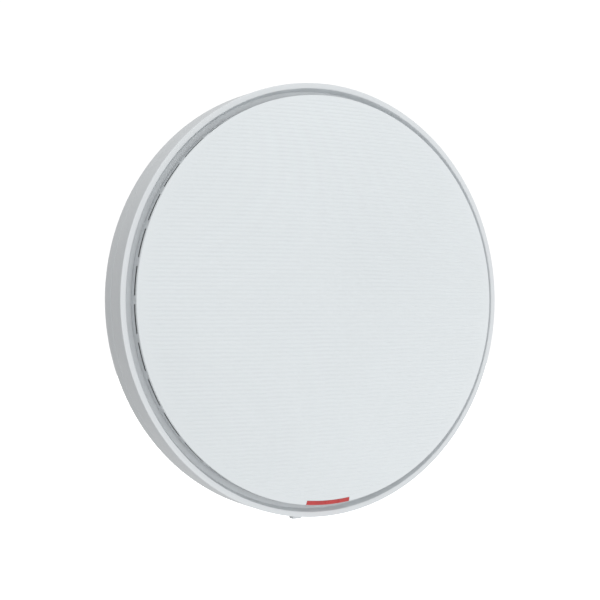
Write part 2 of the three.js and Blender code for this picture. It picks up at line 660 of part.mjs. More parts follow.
function ethernetJack() {
  const near = COMPONENT_TOP - JACK_HEIGHT;
  const half = JACK_WIDTH / 2;
  const shell = block(-half, half, RECESS_TOP, RECESS_TOP + JACK_LENGTH, near, COMPONENT_TOP);
  const mouthTop = RECESS_TOP + JACK_MOUTH_LENGTH;
  const mouthHalf = JACK_MOUTH_HALF_WIDTH;
  const latchHalf = JACK_LATCH_HALF_WIDTH;
  const mouth = block(
    -mouthHalf, mouthHalf, RECESS_TOP - THROUGH, mouthTop,
    near + JACK_MOUTH.near, COMPONENT_TOP - JACK_MOUTH.boardWall,
  );
  const latchSlot = block(
    -latchHalf, latchHalf, RECESS_TOP - THROUGH, mouthTop, near + JACK_LATCH.near, near + JACK_LATCH.far,
  );
  return cut(shell, mouth, latchSlot);
}

function usbPort() {
  const near = COMPONENT_TOP - USB.height;
  const top = RECESS_TOP + USB.length;
  const shell = block(USB.left, USB.right, RECESS_TOP, top, near, COMPONENT_TOP);
  const left = USB.left + USB_SIDE_WALL;
  const right = USB.right - USB_SIDE_WALL;
  const mouth = block(
    left, right, RECESS_TOP - THROUGH, top - 3, near + USB_FACE_WALL, COMPONENT_TOP - USB_FACE_WALL,
  );
  const tongue = block(left + 1, right - 1, RECESS_TOP + 0.6, top - 2, near + 3.5, near + 5.3);
  return join(cut(shell, mouth), tongue);
}

function dcJack() {
  const near = COMPONENT_TOP - DC.height;
  const top = RECESS_TOP + DC.length;
  const x = (DC.left + DC.right) / 2;
  const depth = near + DC_AXIS;
  const shell = block(DC.left, DC.right, RECESS_TOP, top, near, COMPONENT_TOP);
  const mouth = bar(DC_BORE_RADIUS, RECESS_TOP - THROUGH, top - 4, x, depth);
  const pin = bar(DC_PIN_RADIUS, RECESS_TOP + 1, top - 3, x, depth);
  return join(cut(shell, mouth), pin);
}

function resetButton() {
  const flangeBottom = RECESS_TOP + RECESS_WALL + GAP;
  return join(
    bar(RESET_RADIUS, RECESS_TOP - 1.4, RECESS_TOP + 6.2, RESET_CENTRE, RESET_DEPTH),
    bar(RESET_FLANGE_RADIUS, flangeBottom, flangeBottom + RESET_FLANGE_THICKNESS, RESET_CENTRE, RESET_DEPTH),
  );
}

function underBoardBlock({ left, right, bottom, top, near }) {
  return block(left, right, bottom, top, near, COMPONENT_TOP);
}

function statusLed() {
  const half = LED_SIZE / 2;
  const near = BOARD_FRONT_DEPTH + GAP;
  return block(-half, half, LED_Z - half, LED_Z + half, near, near + LED_HEIGHT);
}

function capacitor() {
  const { radius, footRadius, footHeight, height } = CAPACITOR;
  const can = disc(radius, COMPONENT_TOP - height, COMPONENT_TOP);
  return join(can, disc(footRadius, COMPONENT_TOP - footHeight, COMPONENT_TOP));
}

// ---- fasteners ----

// A screw entering along -Y, its head's underside at the given depth.
function screwFromRear(headRadius, shankRadius, headNear, headFar, tip) {
  const head = disc(headRadius, headNear, headFar, 0, 0, PIN_SIDES);
  return join(head, disc(shankRadius, headFar - 0.2, tip, 0, 0, PIN_SIDES));
}

function boardScrew() {
  const near = BOARD_FRONT_DEPTH + GAP;
  const head = disc(BOARD_SCREW.headRadius, near, near + BOARD_SCREW.headHeight, 0, 0, PIN_SIDES);
  return join(head, disc(BOARD_SCREW.shankRadius, BOARD_SCREW.tip, near + 0.2, 0, 0, PIN_SIDES));
}

function mountingStud() {
  const headFar = BRACKET_STANDOFF - STUD_PLAY;
  return screwFromRear(STUD_HEAD_RADIUS, STUD_SHANK_RADIUS, headFar - STUD_HEAD_THICKNESS, headFar, STUD_TIP);
}

// ---- bracket ----

function bracketSheet() {
  const t = BRACKET_THICKNESS;
  const far = BRACKET_STANDOFF;
  const shift = t * Math.tan(Math.PI / 8); // a 45 degree bend moves the front corner by this much
  const padEdge = BRACKET_PAD_RADIUS;
  const webEdge = BRACKET_FLANGE_INNER_RADIUS - far;
  return turned([
    [0, 0],
    [padEdge, 0],
    [padEdge + far, far],
    [webEdge, far],
    [BRACKET_FLANGE_INNER_RADIUS, 0],
    [BRACKET_RADIUS, 0],
    [BRACKET_RADIUS, t],
    [BRACKET_FLANGE_INNER_RADIUS + shift, t],
    [webEdge + shift, far + t],
    [padEdge + far - shift, far + t],
    [padEdge - shift, t],
    [0, t],
  ]);
}

function keyhole([x, z]) {
  const near = BRACKET_STANDOFF - THROUGH;
  const far = BRACKET_STANDOFF + BRACKET_THICKNESS + THROUGH;
  const slot = plate(uprightSlot(KEYHOLE_NARROW_RADIUS, 0, SLIDE_TRAVEL), near, far).translate(x, 0, z);
  return join(slot, disc(KEYHOLE_WIDE_RADIUS, near, far, x, z + SLIDE_TRAVEL));
}

// A slot for a ceiling screw, lying along X so that the bracket can be nudged square.
function fixingSlot(degrees) {
  const radius = FIXING_SLOT_WIDTH / 2;
  const half = (FIXING_SLOT_LENGTH - FIXING_SLOT_WIDTH) / 2;
  const [x, z] = onCircle(FIXING_CIRCLE_RADIUS, degrees);
  const slot = plate(uprightSlot(radius, -half, half), -THROUGH, BRACKET_THICKNESS + THROUGH);
  return slot.rotateY(Math.PI / 2).translate(x, 0, z);
}

function mountingBracket() {
  const near = BRACKET_STANDOFF - THROUGH;
  const far = BRACKET_STANDOFF + BRACKET_THICKNESS + THROUGH;
  const { halfWidth, bottom, top, corner } = CABLE_OPENING;
  const cable = plate(roundedRectangle(-halfWidth, halfWidth, bottom, top, corner), near, far);
  const noseHalf = LOCK_NOSE.halfWidth + LOCK_CLEARANCE;
  const noseWindow = block(
    -noseHalf - LOCK_TRAVEL, noseHalf,
    LOCK_NOSE.bottom - LOCK_CLEARANCE, LOCK_NOSE.top + LOCK_CLEARANCE, near, far,
  );
  const neckHalf = LOCK_NECK_HALF_WIDTH + LOCK_CLEARANCE;
  const neckNotch = block(-neckHalf - LOCK_TRAVEL, neckHalf, -70, -62, BRACKET_THICKNESS + 0.2, 4.2);
  return cut(
    bracketSheet(), cable, noseWindow, neckNotch,
    ...STUD_PLACES.map(keyhole), ...around(4, 45).map(fixingSlot),
  );
}

function lockSlider() {
  const near = LOCK_REAR_DEPTH;
  const far = near + LOCK_THICKNESS;
  const neck = LOCK_NECK_HALF_WIDTH;
  return join(
    block(-LOCK_HALF_WIDTH, LOCK_HALF_WIDTH, LOCK_SHOULDER, LOCK_TOP, near, far),
    block(-neck, neck, LOCK_TIP, LOCK_SHOULDER + 1, near, far),
    block(-neck, neck, LOCK_TIP, LOCK_TIP + LOCK_END_THICKNESS, near - LOCK_END_LIP, far + LOCK_END_LIP),
    block(
      -LOCK_NOSE.halfWidth, LOCK_NOSE.halfWidth, LOCK_NOSE.bottom, LOCK_NOSE.top,
      near, LOCK_NOSE.frontDepth,
    ),
  );
}

// A low bridge that keeps the lock against the back of the bracket's web.
function lockGuide() {
  const { bottom, top, near, foot, sideClearance } = LOCK_GUIDE;
  const left = -LOCK_HALF_WIDTH - LOCK_TRAVEL - sideClearance;
  const right = LOCK_HALF_WIDTH + sideClearance;
  const footFar = BRACKET_STANDOFF - GAP;
  return join(
    block(left - foot, right + foot, bottom, top, near, LOCK_REAR_DEPTH - GAP),
    block(left - foot, left, bottom, top, near, footFar),
    block(right, right + foot, bottom, top, near, footFar),
  );
}

// ---- assembly ----

function named(name, geometry, meshMaterial) {
  const mesh = new THREE.Mesh(closed(geometry), meshMaterial);
  mesh.name = name;
  return mesh;
}

function copies(name, geometry, meshMaterial, places) {
  return places.map(([x, z], i) => {
    const mesh = named(`${name}_${i + 1}`, geometry, meshMaterial);
    mesh.position.set(x, 0, z);
    return mesh;
  });
}

function casing() {
  const group = new THREE.Group();
  const caseScrew = screwFromRear(
    CASE_SCREW_HEAD_RADIUS, CASE_SCREW_SHANK_RADIUS,
    CASE_SCREW_HEAD_NEAR, CASE_SCREW_HEAD_FAR, CASE_SCREW_TIP,
  );
  const screwPlaces = CASE_SCREW_ANGLES.map((degrees) => onCircle(CASE_SCREW_CIRCLE_RADIUS, degrees));
  group.add(
    named('front_cover', frontCover(), coverWhite),
    named('indicator_lens', indicatorLens(), indicatorRed),
    named('vent_ring', ventRing(), housingWhite),
    named('vent_screen', ventScreen(), chipBlack),
    named('front_bezel', frontBezel(), housingWhite),
    named('rear_housing', rearHousing(), housingWhite),
    named('base_casting', baseCasting(), castMetal),
    named('port_well', portWell(), chipBlack),
    named('rating_label', ratingLabel(), labelWhite),
    ...copies('case_screw', caseScrew, sheetSteel, screwPlaces),
    ...copies('mounting_stud', mountingStud(), sheetSteel, STUD_PLACES),
  );
  return group;
}

function electronics() {
  const group = new THREE.Group();
  group.add(named('main_board', mainBoard(), boardGreen));
  group.add(...copies('board_screw', boardScrew(), sheetSteel, BOARD_SCREW_PLACES));
  for (const { name, x, z, half } of PEDESTALS) {
    const padNear = PEDESTAL_DEPTH + GAP;
    const padFar = padNear + 1.2;
    const pad = block(1 - half, half - 1, 1 - half, half - 1, padNear, padFar);
    const chip = block(-half, half, -half, half, padFar + GAP, COMPONENT_TOP);
    const padMesh = named(`${name}_thermal_pad`, pad, padBlue);
    const chipMesh = named(name, chip, chipBlack);
    padMesh.position.set(x, 0, z);
    chipMesh.position.set(x, 0, z);
    group.add(padMesh, chipMesh);
  }
  for (const { name, width, height, x, z } of SHIELDS) {
    const mesh = named(name, shieldCan(width, height), tinPlate);
    mesh.position.set(x, 0, z);
    group.add(mesh);
  }
  JACK_CENTRES.forEach((x, i) => {
    const mesh = named(`ethernet_jack_${i + 1}`, ethernetJack(), tinPlate);
    mesh.position.x = x;
    group.add(mesh);
  });
  group.add(
    named('usb_port', usbPort(), tinPlate),
    named('power_jack', dcJack(), chipBlack),
    named('reset_button', resetButton(), chipBlack),
    named('reset_switch', underBoardBlock(RESET_SWITCH), chipBlack),
    named('power_transformer', underBoardBlock(TRANSFORMER), chipBlack),
    ...copies('capacitor', capacitor(), tinPlate, CAPACITOR_PLACES),
    named('status_led', statusLed(), labelWhite),
    named('light_guide', lightGuide(), clearPlastic),
  );
  return group;
}

function antennas() {
  const group = new THREE.Group();
  group.add(named('reflector_plate', reflectorPlate(), tinPlate));
  around(ANTENNA_COUNT, 30).forEach((degrees, i) => {
    const mesh = named(`antenna_${i + 1}`, antenna(), sheetSteel);
    const [x, z] = onCircle(ANTENNA_CIRCLE_RADIUS, degrees);
    mesh.position.set(x, 0, z);
    mesh.rotation.y = -THREE.MathUtils.degToRad(degrees + 90);
    group.add(mesh);
  });
  return group;
}

function bracket() {
  const group = new THREE.Group();
  group.add(
    named('mounting_bracket', mountingBracket(), sheetSteel),
    named('lock_guide', lockGuide(), sheetSteel),
    named('lock_slider', lockSlider(), lockWhite),
  );
  return group;
}

const group = new THREE.Group();
group.add(bracket(), casing(), electronics(), antennas());

export default group;
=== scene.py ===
import json
import math

import bmesh
import bpy
from mathutils import Matrix, Vector


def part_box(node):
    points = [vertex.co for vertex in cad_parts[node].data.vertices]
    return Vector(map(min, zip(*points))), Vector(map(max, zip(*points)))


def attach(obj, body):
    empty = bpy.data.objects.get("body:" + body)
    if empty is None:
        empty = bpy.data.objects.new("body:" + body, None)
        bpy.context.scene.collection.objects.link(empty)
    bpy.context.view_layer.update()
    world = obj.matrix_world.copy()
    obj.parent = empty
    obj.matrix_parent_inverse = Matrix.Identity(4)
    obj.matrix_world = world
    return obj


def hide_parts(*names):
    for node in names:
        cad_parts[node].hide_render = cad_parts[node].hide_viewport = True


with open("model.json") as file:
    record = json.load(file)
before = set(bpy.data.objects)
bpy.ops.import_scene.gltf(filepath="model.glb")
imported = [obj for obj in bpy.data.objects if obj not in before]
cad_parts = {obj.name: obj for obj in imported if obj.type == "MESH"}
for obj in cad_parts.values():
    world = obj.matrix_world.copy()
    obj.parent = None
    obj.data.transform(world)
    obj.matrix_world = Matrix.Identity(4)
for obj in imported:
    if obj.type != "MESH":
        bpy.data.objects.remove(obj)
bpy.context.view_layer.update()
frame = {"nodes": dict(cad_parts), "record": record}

# Lengths are in millimetres; mesh_object() turns them into metres. Depth is measured forward from
# the ceiling face, so depth d lies at y = -d.

MM = 0.001  # metres
ROUND_SEGMENTS = 240  # for rings the size of the drum
HOLE_SEGMENTS = 40

# ---- dimensions read from the frame ----


def depth_range(node):
    """The nearest and furthest depth of a CAD node."""
    low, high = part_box(node)
    return -high.y / MM, -low.y / MM


OUTER_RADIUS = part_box("front_bezel")[1].x / MM
LIP_DEPTH = depth_range("front_bezel")[1]
COVER_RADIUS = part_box("front_cover")[1].x / MM
PARTING_DEPTH = depth_range("rear_housing")[1] + 0.3
HOUSING_REAR_DEPTH = depth_range("rear_housing")[0]
VENT_RING_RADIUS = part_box("vent_ring")[1].x / MM
VENT_RING_NEAR, VENT_RING_FAR = depth_range("vent_ring")
COVER_UNDERSIDE_DEPTH = VENT_RING_FAR + 0.3

# ---- dimensions of the finished surfaces ----

LIP_INNER_RADIUS = 107.2
GROOVE_OUTER_RADIUS = 106
GROOVE_FLOOR_DEPTH = 29
COVER_EDGE_DEPTH = 36.4
COVER_THICKNESS = 2.2
COVER_EDGE_ROUND = 0.5
DOME_QUADRATIC = 7.2
DOME_QUARTIC = 5.9
RIB_PITCH = 1.99
RIB_OFFSET = 0.42
RIB_DEPTH = 0.36
RIB_FIELD_RADIUS = 100.9
RIB_FADE = 0.8
RIB_SAMPLES = 6
RIB_COLUMNS = 60
HOOK_COUNT = 6
HOOK_WIDTH = 10
GROOVE_PAINTED_SHADE = 0.88  # a factor on the colour of the groove: painted shade, the recess under the cover darkened in its colour
VENT_COUNT = 36
VENT_SLOT_DEGREES = 7.7
VENT_SLOT_NEAR = 33.1
VENT_SLOT_FAR = 34.3
VENT_WALL = 1
LENS_HALF_DEGREES = 7
LENS_INNER_RADIUS = 101.2
LENS_SEAM = 0.12

RECESS = {"half_width": 38, "bottom": 14, "top": 50, "floor": 22, "wall": 2}
EJECTOR_MARKS = 12
# left, right and height of the openings for the sockets
SOCKET_CUTS = ((-35.3, -18.7, 15), (-17.8, -1.2, 15), (0.5, 15.5, 8.3), (17.7, 27.3, 12.3))
CONTACT_PITCH = 1.02
RESET_CENTRE = 32
RESET_DEPTH = 19.5
POCKET_RADIUS = 81
POCKET_FLOOR = 6
SLIDE_TRAVEL = 10
CASE_SCREW_CIRCLE = 90.3
CASE_SCREW_ANGLES = (50, 130, 207, 333)
BOARD_SCREW_PLACES = ((72, 20), (-72, 20), (50, -60), (-50, -60))
STUD_PLACES = ((46, 18), (-46, 18), (30, -44), (-30, -44))
BASE_REAR_DEPTH = depth_range("base_casting")[0]
BASE_RIM_INSIDE = 4.8
BASE_FLOOR_INSIDE = 8.2
BASE_RIM_RADIUS = 100
BASE_SPIGOT_RADIUS = 96.7
BOARD_DEPTH = depth_range("main_board")[0]
COMPONENT_TOP = BOARD_DEPTH - 0.3
LOCK_TRAVEL = 5  # the lock slides this far towards -X
LOCK_CLEARANCE = 0.5
LOCK_SIDE_CLEARANCE = 0.4
LOCK_NECK_HALF_WIDTH = 2.7
LOCK_HALF_WIDTH = 5
LOCK_TOP = -34
LOCK_SHOULDER = -60
LOCK_TIP = -115.5
LOCK_END_THICKNESS = 1.8
LOCK_NOSE_HALF_WIDTH = 2.5
LOCK_NOSE_BOTTOM = -54
LOCK_NOSE_TOP = -50
LOCK_NOSE_DEPTH = depth_range("lock_slider")[1]
BRACKET_WEB = (4, 5.5)  # the nearest and furthest depth of the raised web

# ---- meshes ----


def mesh_object(name, verts, faces):
    """An object from points and faces, its normals made to point out."""
    mesh = bpy.data.meshes.new(name)
    mesh.from_pydata([Vector(point) * MM for point in verts], [], faces)
    work = bmesh.new()
    work.from_mesh(mesh)
    bmesh.ops.remove_doubles(work, verts=work.verts, dist=1e-7)
    bmesh.ops.recalc_face_normals(work, faces=work.faces)
    work.to_mesh(mesh)
    work.free()
    obj = bpy.data.objects.new(name, mesh)
    bpy.context.scene.collection.objects.link(obj)
    return obj


def smooth(obj, degrees=32):
    obj.data.shade_smooth()
    obj.data.set_sharp_from_angle(angle=math.radians(degrees))
    return obj


def apply_modifiers(obj):
    graph = bpy.context.evaluated_depsgraph_get()
    mesh = bpy.data.meshes.new_from_object(obj.evaluated_get(graph))
    obj.modifiers.clear()
    obj.data = mesh
    return obj


def combine(obj, others, operation):
    """Joins or cuts obj with the others, which are used up."""
    for other in others:
        modifier = obj.modifiers.new(operation.lower(), "BOOLEAN")
        modifier.operation = operation
        modifier.solver = "EXACT"
        modifier.object = other
    apply_modifiers(obj)
    for other in others:
        bpy.data.objects.remove(other)
    return obj


def cut(obj, *tools):
    return combine(obj, tools, "DIFFERENCE")


def join(obj, *others):
    return combine(obj, others, "UNION")


def merged(objects):
    """The meshes of several objects as one object, without a boolean."""
    work = bmesh.new()
    for obj in objects:
        work.from_mesh(obj.data)
    mesh = bpy.data.meshes.new(objects[0].name)
    work.to_mesh(mesh)
    work.free()
    objects[0].data = mesh
    for obj in objects[1:]:
        bpy.data.objects.remove(obj)
    return objects[0]


def bevelled(obj, width, segments=2, degrees=40):
    modifier = obj.modifiers.new("edges", "BEVEL")
    modifier.width = width * MM
    modifier.segments = segments
    modifier.limit_method = "ANGLE"
    modifier.angle_limit = math.radians(degrees)
    return apply_modifiers(obj)


def rounded(corners, steps=5):
    """A closed outline's points, each corner (a, b, radius) turned into an arc of that radius."""
    points = []
    count = len(corners)
    for i, (a, b, radius) in enumerate(corners):
        here = Vector((a, b))
        if radius == 0:
            points.append(here)
            continue
        before = (Vector(corners[i - 1][:2]) - here).normalized()
        after = (Vector(corners[(i + 1) % count][:2]) - here).normalized()
        half = before.angle(after) / 2
        centre = here + (before + after).normalized() * (radius / math.sin(half))
        start = here + before * (radius / math.tan(half)) - centre
        end = here + after * (radius / math.tan(half)) - centre
        points += [centre + start.slerp(end, k / steps) * radius for k in range(steps + 1)]
    return points


def on_ring(radius, depth, angle):
    return (radius * math.cos(angle), -depth, radius * math.sin(angle))


def turned(name, outline, segments=ROUND_SEGMENTS, start=0.0, sweep=360.0):
    """A closed outline of (radius, depth) points turned about the unit's axis, or part of the way."""
    full = sweep >= 360
    stations = segments if full else segments + 1
    angles = [math.radians(start + sweep * k / segments) for k in range(stations)]
    verts = [on_ring(p[0], p[1], angle) for angle in angles for p in outline]
    count = len(outline)
    faces = []
    for k in range(segments):
        here = k * count
        there = ((k + 1) % stations) * count
        for i in range(count):
            j = (i + 1) % count
            faces.append((here + i, here + j, there + j, there + i))
    if not full:
        faces.append(tuple(range(count)))
        faces.append(tuple(reversed(range((stations - 1) * count, stations * count))))
    return mesh_object(name, verts, faces)


def loft(name, loops):
    """A solid with flat ends through loops of points that all have as many."""
    count = len(loops[0])
    verts = [point for loop in loops for point in loop]
    faces = [tuple(range(count)), tuple(reversed(range(len(verts) - count, len(verts))))]
    for start in range(0, len(verts) - count, count):
        for i in range(count):
            j = (i + 1) % count
            faces.append((start + i, start + j, start + count + j, start + count + i))
    return mesh_object(name, verts, faces)


def layered(name, layers):
    """A solid through outlines of (x, z) points, each at its depth."""
    return loft(name, [[(p[0], -depth, p[1]) for p in outline] for depth, outline in layers])


def extruded(name, outline, near, far):
    return layered(name, [(near, outline), (far, outline)])


def across(name, outline, left, right):
    """An outline of (height, depth) points, given width from left to right."""
    return loft(name, [[(x, -p[1], p[0]) for p in outline] for x in (left, right)])


def block(name, left, right, bottom, top, near, far):
    return extruded(name, [(left, bottom), (right, bottom), (right, top), (left, top)], near, far)


def upright(obj, x, depth):
    """Stands a turned body up, so that its depths become heights, on a line at x and depth."""
    obj.data.transform(Matrix.Rotation(math.radians(-90), 4, "X"))
    return moved(obj, x, -depth, 0)


def moved(obj, x, y, z):
    obj.data.transform(Matrix.Translation(Vector((x, y, z)) * MM))
    return obj


def turned_to(obj, degrees):
    """Turns a piece made at the right (+X) about the unit's axis, anticlockwise from the front."""
    obj.data.transform(Matrix.Rotation(math.radians(-degrees), 4, "Y"))
    return obj


# A shape is a function from an amount of growth to the grown outline.


def circle(radius, x=0.0, z=0.0, segments=HOLE_SEGMENTS):
    angles = [2 * math.pi * k / segments for k in range(segments)]

    def grown(grow):
        size = radius + grow
        return [(x + size * math.cos(a), z + size * math.sin(a)) for a in angles]
    return grown


def box_shape(left, right, bottom, top, corner):
    def grown(grow):
        radius = max(0.02, corner + grow)
        return rounded([
            (left - grow, bottom - grow, radius),
            (right + grow, bottom - grow, radius),
            (right + grow, top + grow, radius),
            (left - grow, top + grow, radius),
        ])
    return grown


def slot_shape(radius, bottom, top, x=0.0, steps=16):
    """An upright slot with round ends, between two centres on one line."""
    turns = [math.radians(180 * k / steps) for k in range(steps + 1)]

    def grown(grow):
        size = radius + grow
        upper = [(x + size * math.cos(a), top + size * math.sin(a)) for a in turns]
        lower = [(x - size * math.cos(a), bottom - size * math.sin(a)) for a in turns]
        return upper + lower
    return grown


def quarter_round(edge, steps=3):
    """How far in and how deep the points of a rounded edge lie."""
    turns = [math.radians(90 * k / steps) for k in range(steps + 1)]
    return [(edge * (1 - math.sin(t)), edge * (1 - math.cos(t))) for t in turns]


def soft_plate(name, shape, near, far, edge=0.25):
    """A plate with rounded edges."""
    quarter = quarter_round(edge)
    layers = [(near + deep, shape(-inwards)) for inwards, deep in quarter]
    layers += [(far - deep, shape(-inwards)) for inwards, deep in reversed(quarter)]
    return layered(name, layers)


def opening(name, shape, near, far, edge=0.25, through=True):
    """A cutting tool that rounds the edge where it enters, and where it comes out if it goes through."""
    quarter = quarter_round(edge)
    layers = [(near - 1, shape(edge))]
    layers += [(near + deep, shape(outwards)) for outwards, deep in quarter]
    if through:
        layers += [(far - deep, shape(outwards)) for outwards, deep in reversed(quarter)]
        layers.append((far + 1, shape(edge)))
    else:
        layers.append((far, shape(0)))
    return layered(name, layers)


def disc(name, radius, near, far, x=0.0, z=0.0, segments=HOLE_SEGMENTS):
    return extruded(name, circle(radius, x, z, segments)(0), near, far)


# ---- materials ----


class Surface:
    """Builds one procedural material around a Principled shader."""

    def __init__(self, name, colour, roughness, metallic=0.0, **fixed):
        self.material = bpy.data.materials.new(name)
        self.material.use_nodes = True
        self.tree = self.material.node_tree
        self.shader = self.tree.nodes["Principled BSDF"]
        self.shader.inputs["Metallic"].default_value = metallic
        for label, value in fixed.items():
            self.shader.inputs[label.replace("_", " ")].default_value = value
        self.place = self.tree.nodes.new("ShaderNodeTexCoord").outputs["Object"]
        self.colour = colour
        self.roughness = roughness
        self.normal = None

    def noise(self, scale, detail=3.0, stretch=(1, 1, 1)):
        """Noise from 0 to 1 with this many cells a metre."""
        mapping = self.tree.nodes.new("ShaderNodeMapping")
        mapping.inputs["Scale"].default_value = [scale * s for s in stretch]
        self.tree.links.new(self.place, mapping.inputs["Vector"])
        texture = self.tree.nodes.new("ShaderNodeTexNoise")
        texture.inputs["Scale"].default_value = 1.0
        texture.inputs["Detail"].default_value = detail
        self.tree.links.new(mapping.outputs["Vector"], texture.inputs["Vector"])
        return texture.outputs["Fac"]

    def ramp(self, value, low, high, from_low=0.3, from_high=0.7):
        """Maps a value between two numbers."""
        node = self.tree.nodes.new("ShaderNodeMapRange")
        node.inputs["From Min"].default_value = from_low
        node.inputs["From Max"].default_value = from_high
        node.inputs["To Min"].default_value = low
        node.inputs["To Max"].default_value = high
        self.tree.links.new(value, node.inputs["Value"])
        return node.outputs["Result"]

    def tinted(self, value, other):
        """Colour runs from the base colour to another one as the value goes from 0 to 1."""
        node = self.tree.nodes.new("ShaderNodeMix")
        node.data_type = "RGBA"
        self.tree.links.new(value, node.inputs["Factor"])
        node.inputs["A"].default_value = (*self.colour, 1)
        node.inputs["B"].default_value = (*other, 1)
        self.tree.links.new(node.outputs["Result"], self.shader.inputs["Base Color"])
        return self

    def darkened(self, value, factor):
        """Multiplies the colour by a factor as the value goes from 0 to 1."""
        node = self.tree.nodes.new("ShaderNodeMix")
        node.data_type = "RGBA"
        node.blend_type = "MULTIPLY"
        colour = self.shader.inputs["Base Color"]
        self.tree.links.new(value, node.inputs["Factor"])
        self.tree.links.new(colour.links[0].from_socket, node.inputs["A"])
        node.inputs["B"].default_value = (factor, factor, factor, 1)
        self.tree.links.new(node.outputs["Result"], colour)
        return self

    def times(self, first, second):
        node = self.tree.nodes.new("ShaderNodeMath")
        node.operation = "MULTIPLY"
        self.tree.links.new(first, node.inputs[0])
        self.tree.links.new(second, node.inputs[1])
        return node.outputs[0]

    def ring_mask(self, outer, inner, behind):
        """From 0 at one radius to 1 at a smaller one, in front of a depth; all in millimetres."""
        flat = self.tree.nodes.new("ShaderNodeVectorMath")
        flat.operation = "MULTIPLY"
        flat.inputs[1].default_value = (1, 0, 1)
        self.tree.links.new(self.place, flat.inputs[0])
        length = self.tree.nodes.new("ShaderNodeVectorMath")
        length.operation = "LENGTH"
        self.tree.links.new(flat.outputs[0], length.inputs[0])
        parts = self.tree.nodes.new("ShaderNodeSeparateXYZ")
        self.tree.links.new(self.place, parts.inputs[0])
        within = self.ramp(length.outputs["Value"], 0, 1, outer * MM, inner * MM)
        front = self.ramp(parts.outputs["Y"], 0, 1, -behind * MM, -(behind + 1) * MM)
        return self.times(within, front)

    def rough(self, value, spread):
        low, high = self.roughness - spread, self.roughness + spread
        self.tree.links.new(self.ramp(value, low, high), self.shader.inputs["Roughness"])
        return self

    def bump(self, value, height, strength=1.0):
        """Adds relief of this height in metres."""
        node = self.tree.nodes.new("ShaderNodeBump")
        node.inputs["Distance"].default_value = height
        node.inputs["Strength"].default_value = strength
        self.tree.links.new(value, node.inputs["Height"])
        if self.normal is not None:
            self.tree.links.new(self.normal, node.inputs["Normal"])
        self.normal = node.outputs["Normal"]
        self.tree.links.new(self.normal, self.shader.inputs["Normal"])
        return self


def shade(colour, factor):
    return tuple(min(1.0, c * factor) for c in colour)


def moulded_plastic(name, colour, roughness, grain=0.012 * MM, **fixed):
    """Fine moulded grain, slow tone drift and slight differences in gloss."""
    surface = Surface(name, colour, roughness, **fixed)
    drift = surface.noise(14, 2)
    surface.tinted(surface.ramp(drift, 0, 1), shade(colour, 0.975))
    surface.rough(surface.noise(60, 4), 0.05)
    surface.bump(surface.noise(3600, 2), grain)
    surface.bump(surface.noise(45, 1), 0.03 * MM, 0.4)
    return surface.material


def housing_plastic(name, colour):
    """Moulded plastic, its colour darkened in the groove under the cover as painted shade."""
    surface = Surface(name, colour, 0.45)
    surface.tinted(surface.ramp(surface.noise(14, 2), 0, 1), shade(colour, 0.975))
    # painted shade: the colour is darkened in the groove between the lip and the cover, where shade falls
    surface.darkened(surface.ring_mask(LIP_INNER_RADIUS, COVER_RADIUS, GROOVE_FLOOR_DEPTH - 1.5), GROOVE_PAINTED_SHADE)
    surface.rough(surface.noise(60, 4), 0.05)
    surface.bump(surface.noise(3600, 2), 0.012 * MM)
    surface.bump(surface.noise(45, 1), 0.03 * MM, 0.4)
    return surface.material


def brushed_metal(name, colour, roughness, stretch=(1, 1, 12)):
    surface = Surface(name, colour, roughness, metallic=1.0)
    spangle = surface.noise(180, 4)
    surface.tinted(surface.ramp(spangle, 0, 1), shade(colour, 0.82))
    surface.rough(surface.noise(90, 5, stretch), 0.1)
    surface.bump(surface.noise(1400, 3, stretch), 0.006 * MM)
    return surface.material


def cast_metal(name, colour):
    """Die-cast and powder coated: pebbled, with a little wear in its tone."""
    surface = Surface(name, colour, 0.55, metallic=0.35)
    surface.tinted(surface.ramp(surface.noise(22, 5), 0, 1), shade(colour, 0.86))
    surface.rough(surface.noise(120, 4), 0.09)
    surface.bump(surface.noise(1500, 4), 0.03 * MM)
    surface.bump(surface.noise(260, 2), 0.05 * MM, 0.5)
    return surface.material


def circuit_board(name, colour):
    surface = Surface(name, colour, 0.35)
    surface.tinted(surface.ramp(surface.noise(900, 1, (1, 1, 0.1)), 0, 1, 0.45, 0.55), shade(colour, 1.5))
    surface.rough(surface.noise(300, 2), 0.08)
    surface.bump(surface.noise(900, 1, (1, 1, 0.1)), 0.01 * MM)
    return surface.material


def translucent_red(name, colour):
    surface = Surface(name, colour, 0.3, Coat_Weight=0.3, Coat_Roughness=0.12)
    surface.tinted(surface.ramp(surface.noise(160, 2), 0, 1), shade(colour, 0.82))
    surface.rough(surface.noise(220, 3), 0.05)
    surface.bump(surface.noise(2600, 2), 0.006 * MM)
    return surface.material


MATERIALS = {
    "cover_plastic": moulded_plastic("cover_plastic", (0.76, 0.80, 0.82), 0.5),
    "housing_plastic": housing_plastic("housing_plastic", (0.74, 0.77, 0.79)),
    "indicator_red": translucent_red("indicator_red", (0.56, 0.045, 0.045)),
    "clear_plastic": moulded_plastic("clear_plastic", (0.7, 0.75, 0.78), 0.2, Transmission_Weight=0.6),
    "cast_metal": cast_metal("cast_metal", (0.36, 0.38, 0.39)),
    "sheet_steel": brushed_metal("sheet_steel", (0.58, 0.6, 0.61), 0.42),
    "tin_plate": brushed_metal("tin_plate", (0.66, 0.67, 0.66), 0.3),
    "board": circuit_board("board", (0.02, 0.11, 0.06)),
    "black_plastic": moulded_plastic("black_plastic", (0.024, 0.024, 0.026), 0.42),
    "thermal_pad": moulded_plastic("thermal_pad", (0.2, 0.33, 0.42), 0.8),
    "label": moulded_plastic("label", (0.82, 0.82, 0.8), 0.55),
    "lock_plastic": moulded_plastic("lock_plastic", (0.66, 0.69, 0.71), 0.45),
}
NODE_SLOTS = {s["node"]: s["material_slot"] for s in frame["record"]["subparts"]}


